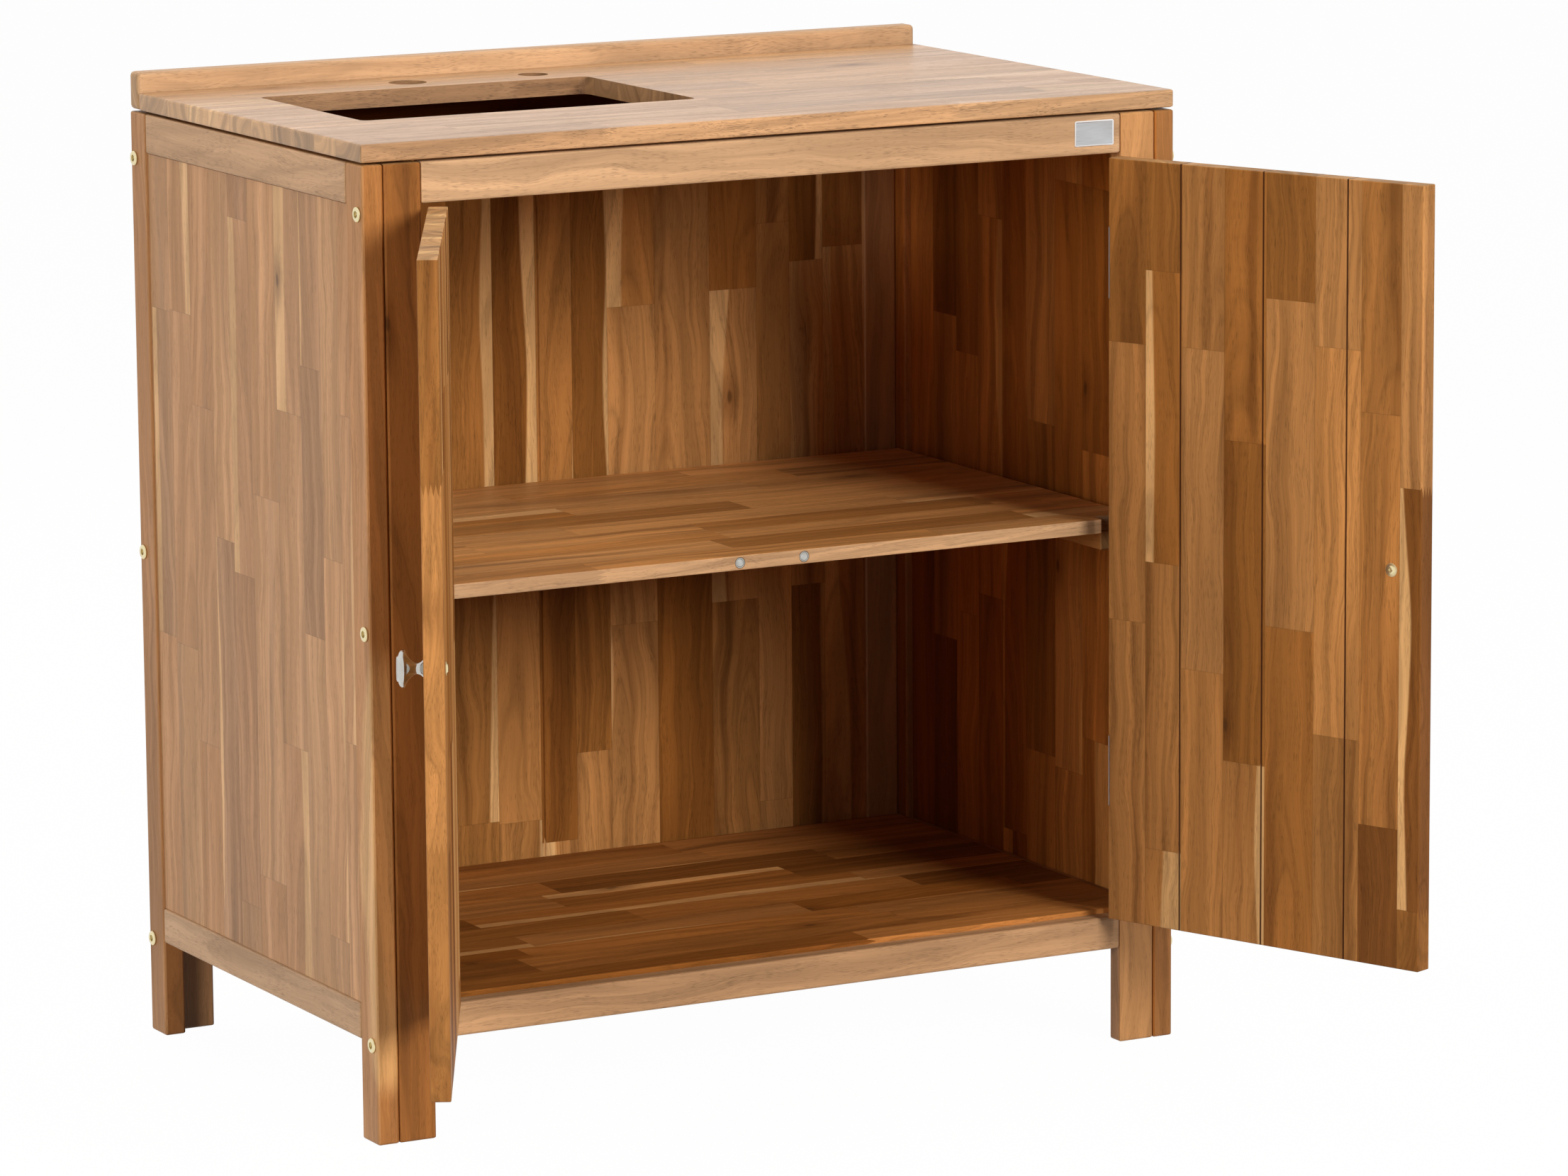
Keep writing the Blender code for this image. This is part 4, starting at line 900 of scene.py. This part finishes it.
class CABINET_OT_knob_screws(bpy.types.Operator):
    """Make the two knob screws, each with its washer"""

    bl_idname = "cabinet.knob_screws"
    bl_label = "Knob screws"

    def execute(self, context):
        sizes = context.scene.cabinet_fittings
        head, washer = sizes.screw_radius, sizes.washer_radius
        profile = [(washer - 0.0001, 0.0), (washer, 0.0002), (washer, 0.0008), (washer - 0.0002, 0.0010)]
        profile += [(head + 0.0002, 0.0010), (head, 0.0011), (head, 0.0015), (head - 0.0004, 0.0020)]
        profile += [(head - 0.0011, 0.0024), (head - 0.0020, 0.0025)]
        model = turned("screw_model", profile, 40)
        cross_recess(model, arm=0.0042, wide=0.0009, top=0.0026, deep=0.0012)
        soften(model, 0.00008)
        places = []
        for side in DOOR_REACH:
            place = at_knob(side, Y_AXIS, DOOR_THICKNESS)
            places.append(("washered_screw_" + side, place, side + "_door_assembly", side + "_knob_screw"))
        set_copies(model, places, "brassed_steel")
        return {"FINISHED"}


class CABINET_OT_bolts(bpy.types.Operator):
    """Make the twelve connector bolts that hold the side frames"""

    bl_idname = "cabinet.bolts"
    bl_label = "Connector bolts"

    def execute(self, context):
        sizes = context.scene.cabinet_fittings
        wide = sizes.bolt_radius
        # A stub of the shank in the stile, then the head, measured from its underside.
        shank, head = 0.0060, 0.0020
        profile = [(0.0030, -shank), (0.0030, 0.0), (wide - 0.0002, 0.0), (wide, 0.0003)]
        profile += [(wide, 0.0010), (wide - 0.0003, 0.0016), (wide - 0.0010, head)]
        model = turned("bolt_model", [(radius, height + shank) for radius, height in profile], 40)
        begin()
        bpy.ops.mesh.primitive_cylinder_add(
            vertices=6, radius=sizes.bolt_socket, depth=0.005, location=(0, 0, shank + head)
        )
        cut_away(model, bpy.context.object)
        soften(model, 0.0001)
        places = []
        for name in frame["nodes"]:
            if not name.endswith("_bolt"):
                continue
            low, high, middle = corners(name)
            outward = -1 if name.startswith("left") else 1
            outermost = low.x if outward < 0 else high.x
            place = facing((outward, 0, 0), (outermost - outward * (head + shank), middle.y, middle.z))
            places.append(("connector_" + name, place, "carcass", name))
        if len(places) != 12:
            raise RuntimeError("the frame should hold twelve connector bolts")
        set_copies(model, places, "brassed_steel")
        return {"FINISHED"}


class CABINET_OT_magnets(bpy.types.Operator):
    """Make the two magnets in the shelf's front edge"""

    bl_idname = "cabinet.magnets"
    bl_label = "Shelf magnets"

    def execute(self, context):
        wide = context.scene.cabinet_fittings.magnet_radius
        # A steel cup with a rounded lip, round a magnet that sits a little lower.
        deep = 0.0080
        profile = [(wide - 0.0001, 0.0), (wide, 0.0002), (wide, 0.0075), (wide - 0.0003, deep)]
        profile += [(wide - 0.0009, deep), (wide - 0.0011, 0.0077), (wide - 0.0012, 0.0074)]
        profile += [(wide - 0.0016, 0.0078), (wide - 0.0030, 0.0078)]
        model = turned("magnet_model", profile, 40)
        smooth(model, SHARP_EDGE)
        places = []
        for side in ("left", "right"):
            node = "shelf_" + side + "_magnet"
            low, _, middle = corners(node)
            place = facing(-Y_AXIS, (middle.x, low.y + deep, middle.z))
            places.append(("cup_magnet_" + side, place, "carcass", node))
        set_copies(model, places, "nickelled_magnet")
        return {"FINISHED"}


class CABINET_OT_hinge_screws(bpy.types.Operator):
    """Make the countersunk screws in the hinge leaves, three to a leaf"""

    bl_idname = "cabinet.hinge_screws"
    bl_label = "Hinge screws"

    def execute(self, context):
        wide = context.scene.cabinet_fittings.hinge_screw_radius
        # The widest ring lies level with the leaf's face, which leaves 0.3 mm proud.
        sunk = 0.0014
        profile = [(0.0010, 0.0), (wide - 0.0001, 0.0013), (wide, sunk), (wide - 0.0002, 0.0017)]
        model = turned("hinge_screw_model", profile, 28)
        cross_recess(model, arm=0.0032, wide=0.0007, top=0.0018, deep=0.0009)
        soften(model, 0.00006)
        seat_from_pin = LEAF_FACE_FROM_PIN + sunk
        back = DOOR_FACE_FROM_PIN + LEAF_WIDTH / 2
        places = []
        for side, reach in DOOR_REACH.items():
            _, pin = hinge(side)
            for row in ("lower", "upper"):
                low, high, _ = corners("%s_%s_hinge_frame_leaf" % (side, row))
                for i, share in enumerate((0.17, 0.5, 0.83)):
                    height = low.z + share * (high.z - low.z)
                    stile = facing((reach, 0, 0), (-reach * seat_from_pin, back, height))
                    door = facing((-reach, 0, 0), (reach * seat_from_pin, back, height))
                    name = "%s_%s_screw_%d" % (side, row, i + 1)
                    places.append(("stile_" + name, pin @ stile, "carcass", None))
                    places.append(("door_" + name, open_place(side) @ door, side + "_door_assembly", None))
        set_copies(model, places, "zinced_steel")
        return {"FINISHED"}


class CABINET_OT_plate(bpy.types.Operator):
    """Make the bare plate on the front top rail"""

    bl_idname = "cabinet.plate"
    bl_label = "Bare plate"

    def execute(self, context):
        sizes = context.scene.cabinet_fittings
        begin()
        bpy.ops.mesh.primitive_plane_add(size=1)
        plate = bpy.context.object
        plate.name = plate.data.name = "bare_plate"
        bpy.ops.object.mode_set(mode="EDIT")
        bpy.ops.mesh.select_all(action="SELECT")
        bpy.ops.transform.resize(value=(sizes.plate_width, sizes.plate_height, 1), center_override=(0, 0, 0))
        bpy.ops.mesh.bevel(offset=PLATE_CORNER, segments=5, affect="VERTICES")
        bpy.ops.mesh.extrude_region_move(TRANSFORM_OT_translate={"value": (0, 0, sizes.plate_thickness)})
        # The field inside the rim is pressed in by 0.3 mm.
        bpy.ops.mesh.inset(thickness=PLATE_RIM, depth=0)
        bpy.ops.mesh.inset(thickness=0.0003, depth=-0.0003)
        bpy.ops.mesh.select_all(action="SELECT")
        bpy.ops.mesh.normals_make_consistent(inside=False)
        bpy.ops.object.mode_set(mode="OBJECT")
        soften(plate, 0.00012)
        seat(plate, facing(-Y_AXIS, plate_middle()), "brushed_aluminium")
        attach(plate, "carcass")
        return {"FINISHED"}


class CABINET_OT_stage(bpy.types.Operator):
    """Set the pale floor, the soft studio light and the photo's camera"""

    bl_idname = "cabinet.stage"
    bl_label = "Studio"

    def execute(self, context):
        scene = context.scene
        stage = scene.cabinet_stage
        self.lay_floor(stage)
        self.light_all_round(scene, stage)
        for name, (setting, size, place) in SOFTBOXES.items():
            bpy.ops.object.light_add(type="AREA")
            lamp = bpy.context.object
            lamp.name = name
            lamp.data.energy, lamp.data.size = getattr(stage, setting), size
            # Reflections show the white studio, not the lamps' own squares.
            lamp.visible_glossy = False
            lamp.matrix_world = facing(Vector(place) - CABINET_MIDDLE, place)

        bpy.ops.object.camera_add()
        camera = bpy.context.object
        camera.name = "photo_camera"
        camera.data.sensor_fit, camera.data.sensor_width = "HORIZONTAL", CAMERA_SENSOR_MM
        camera.data.lens = stage.lens
        camera.data.clip_end = 200
        look = Matrix.Rotation(-CAMERA_AZIMUTH, 4, "Z") @ Matrix.Rotation(math.pi / 2 - CAMERA_DROP, 4, "X")
        look = look @ Matrix.Rotation(-CAMERA_ROLL, 4, "Z")
        camera.matrix_world = Matrix.Translation(CAMERA_PLACE) @ look
        scene.camera = camera
        scene.view_settings.view_transform = "Standard"
        return {"FINISHED"}

    def lay_floor(self, stage):
        """Matt white paint that the camera and reflections see mostly as plain white, with the
        cabinet's soft shadow still on it."""
        begin()
        bpy.ops.mesh.primitive_plane_add(size=FLOOR_SIZE)
        floor = bpy.context.object
        floor.name = "studio_floor"
        paint, tree, matt = new_finish("matt_floor_paint")
        rays = add(tree, "ShaderNodeLightPath")
        seen = add(
            tree, MATH, {0: rays["Is Camera Ray"], 1: rays["Is Glossy Ray"]}, operation="MAXIMUM"
        )[0]
        seen = add(tree, MATH, {0: seen, 1: FLOOR_WHITENESS}, operation="MULTIPLY")[0]
        bounce = add(
            tree,
            MIX,
            {0: rays["Is Diffuse Ray"], 6: rgba(stage.floor), 7: rgba(stage.bounce)},
            data_type="RGBA",
        )[2]
        connect(tree, matt, {"Roughness": 0.9, "Base Color": bounce})
        white = add(tree, "ShaderNodeEmission", {"Color": WHITE, "Strength": 1.0})[0]
        both = add(tree, "ShaderNodeMixShader", {0: seen, 1: matt.outputs[0], 2: white})[0]
        connect(tree, tree.nodes["Material Output"], {"Surface": both})
        floor.data.materials.append(paint)

    def light_all_round(self, scene, stage):
        """White all round for the camera and for reflections, and the fill level for the rest."""
        world = bpy.data.worlds.new("white_studio")
        scene.world = world
        world.use_nodes = True
        tree = world.node_tree
        rays = add(tree, "ShaderNodeLightPath")
        seen = rays["Is Camera Ray"]
        for kind in ("Is Glossy Ray", "Is Transmission Ray"):
            seen = add(tree, MATH, {0: seen, 1: rays[kind]}, operation="MAXIMUM")[0]
        strength = add(tree, MAP_RANGE, {0: seen, 3: stage.fill, 4: 1.0})[0]
        tint = add(tree, MIX, {0: seen, 6: rgba(stage.shade), 7: WHITE}, data_type="RGBA")[2]
        connect(tree, tree.nodes["Background"], {"Color": tint, "Strength": strength})


STEPS = (
    CABINET_OT_wood,
    CABINET_OT_metal,
    CABINET_OT_knobs,
    CABINET_OT_knob_screws,
    CABINET_OT_bolts,
    CABINET_OT_magnets,
    CABINET_OT_hinge_screws,
    CABINET_OT_plate,
    CABINET_OT_stage,
)
SETTINGS = {
    "cabinet_wood": CabinetWood,
    "cabinet_metal": CabinetMetal,
    "cabinet_fittings": CabinetFittings,
    "cabinet_stage": CabinetStage,
}


class CABINET_PT_sidebar(bpy.types.Panel):
    """Settings and steps of the cabinet"""

    bl_idname = "CABINET_PT_sidebar"
    bl_label = "Sink cabinet"
    bl_space_type = "VIEW_3D"
    bl_region_type = "UI"
    bl_category = "Sink cabinet"

    def draw(self, context):
        for name, kind in SETTINGS.items():
            box = self.layout.box()
            box.label(text=kind.__doc__)
            for setting in kind.__annotations__:
                box.prop(getattr(context.scene, name), setting)
        for step in STEPS:
            self.layout.operator(step.bl_idname)


CLASSES = (*SETTINGS.values(), *STEPS, CABINET_PT_sidebar)


def register():
    for kind in CLASSES:
        bpy.utils.register_class(kind)
    for name, kind in SETTINGS.items():
        setattr(bpy.types.Scene, name, bpy.props.PointerProperty(type=kind))


def unregister():
    for name in SETTINGS:
        delattr(bpy.types.Scene, name)
    for kind in reversed(CLASSES):
        bpy.utils.unregister_class(kind)


def main():
    register()
    for step in STEPS:
        area, name = step.bl_idname.split(".")
        getattr(getattr(bpy.ops, area), name)()


if __name__ == "__main__":
    main()
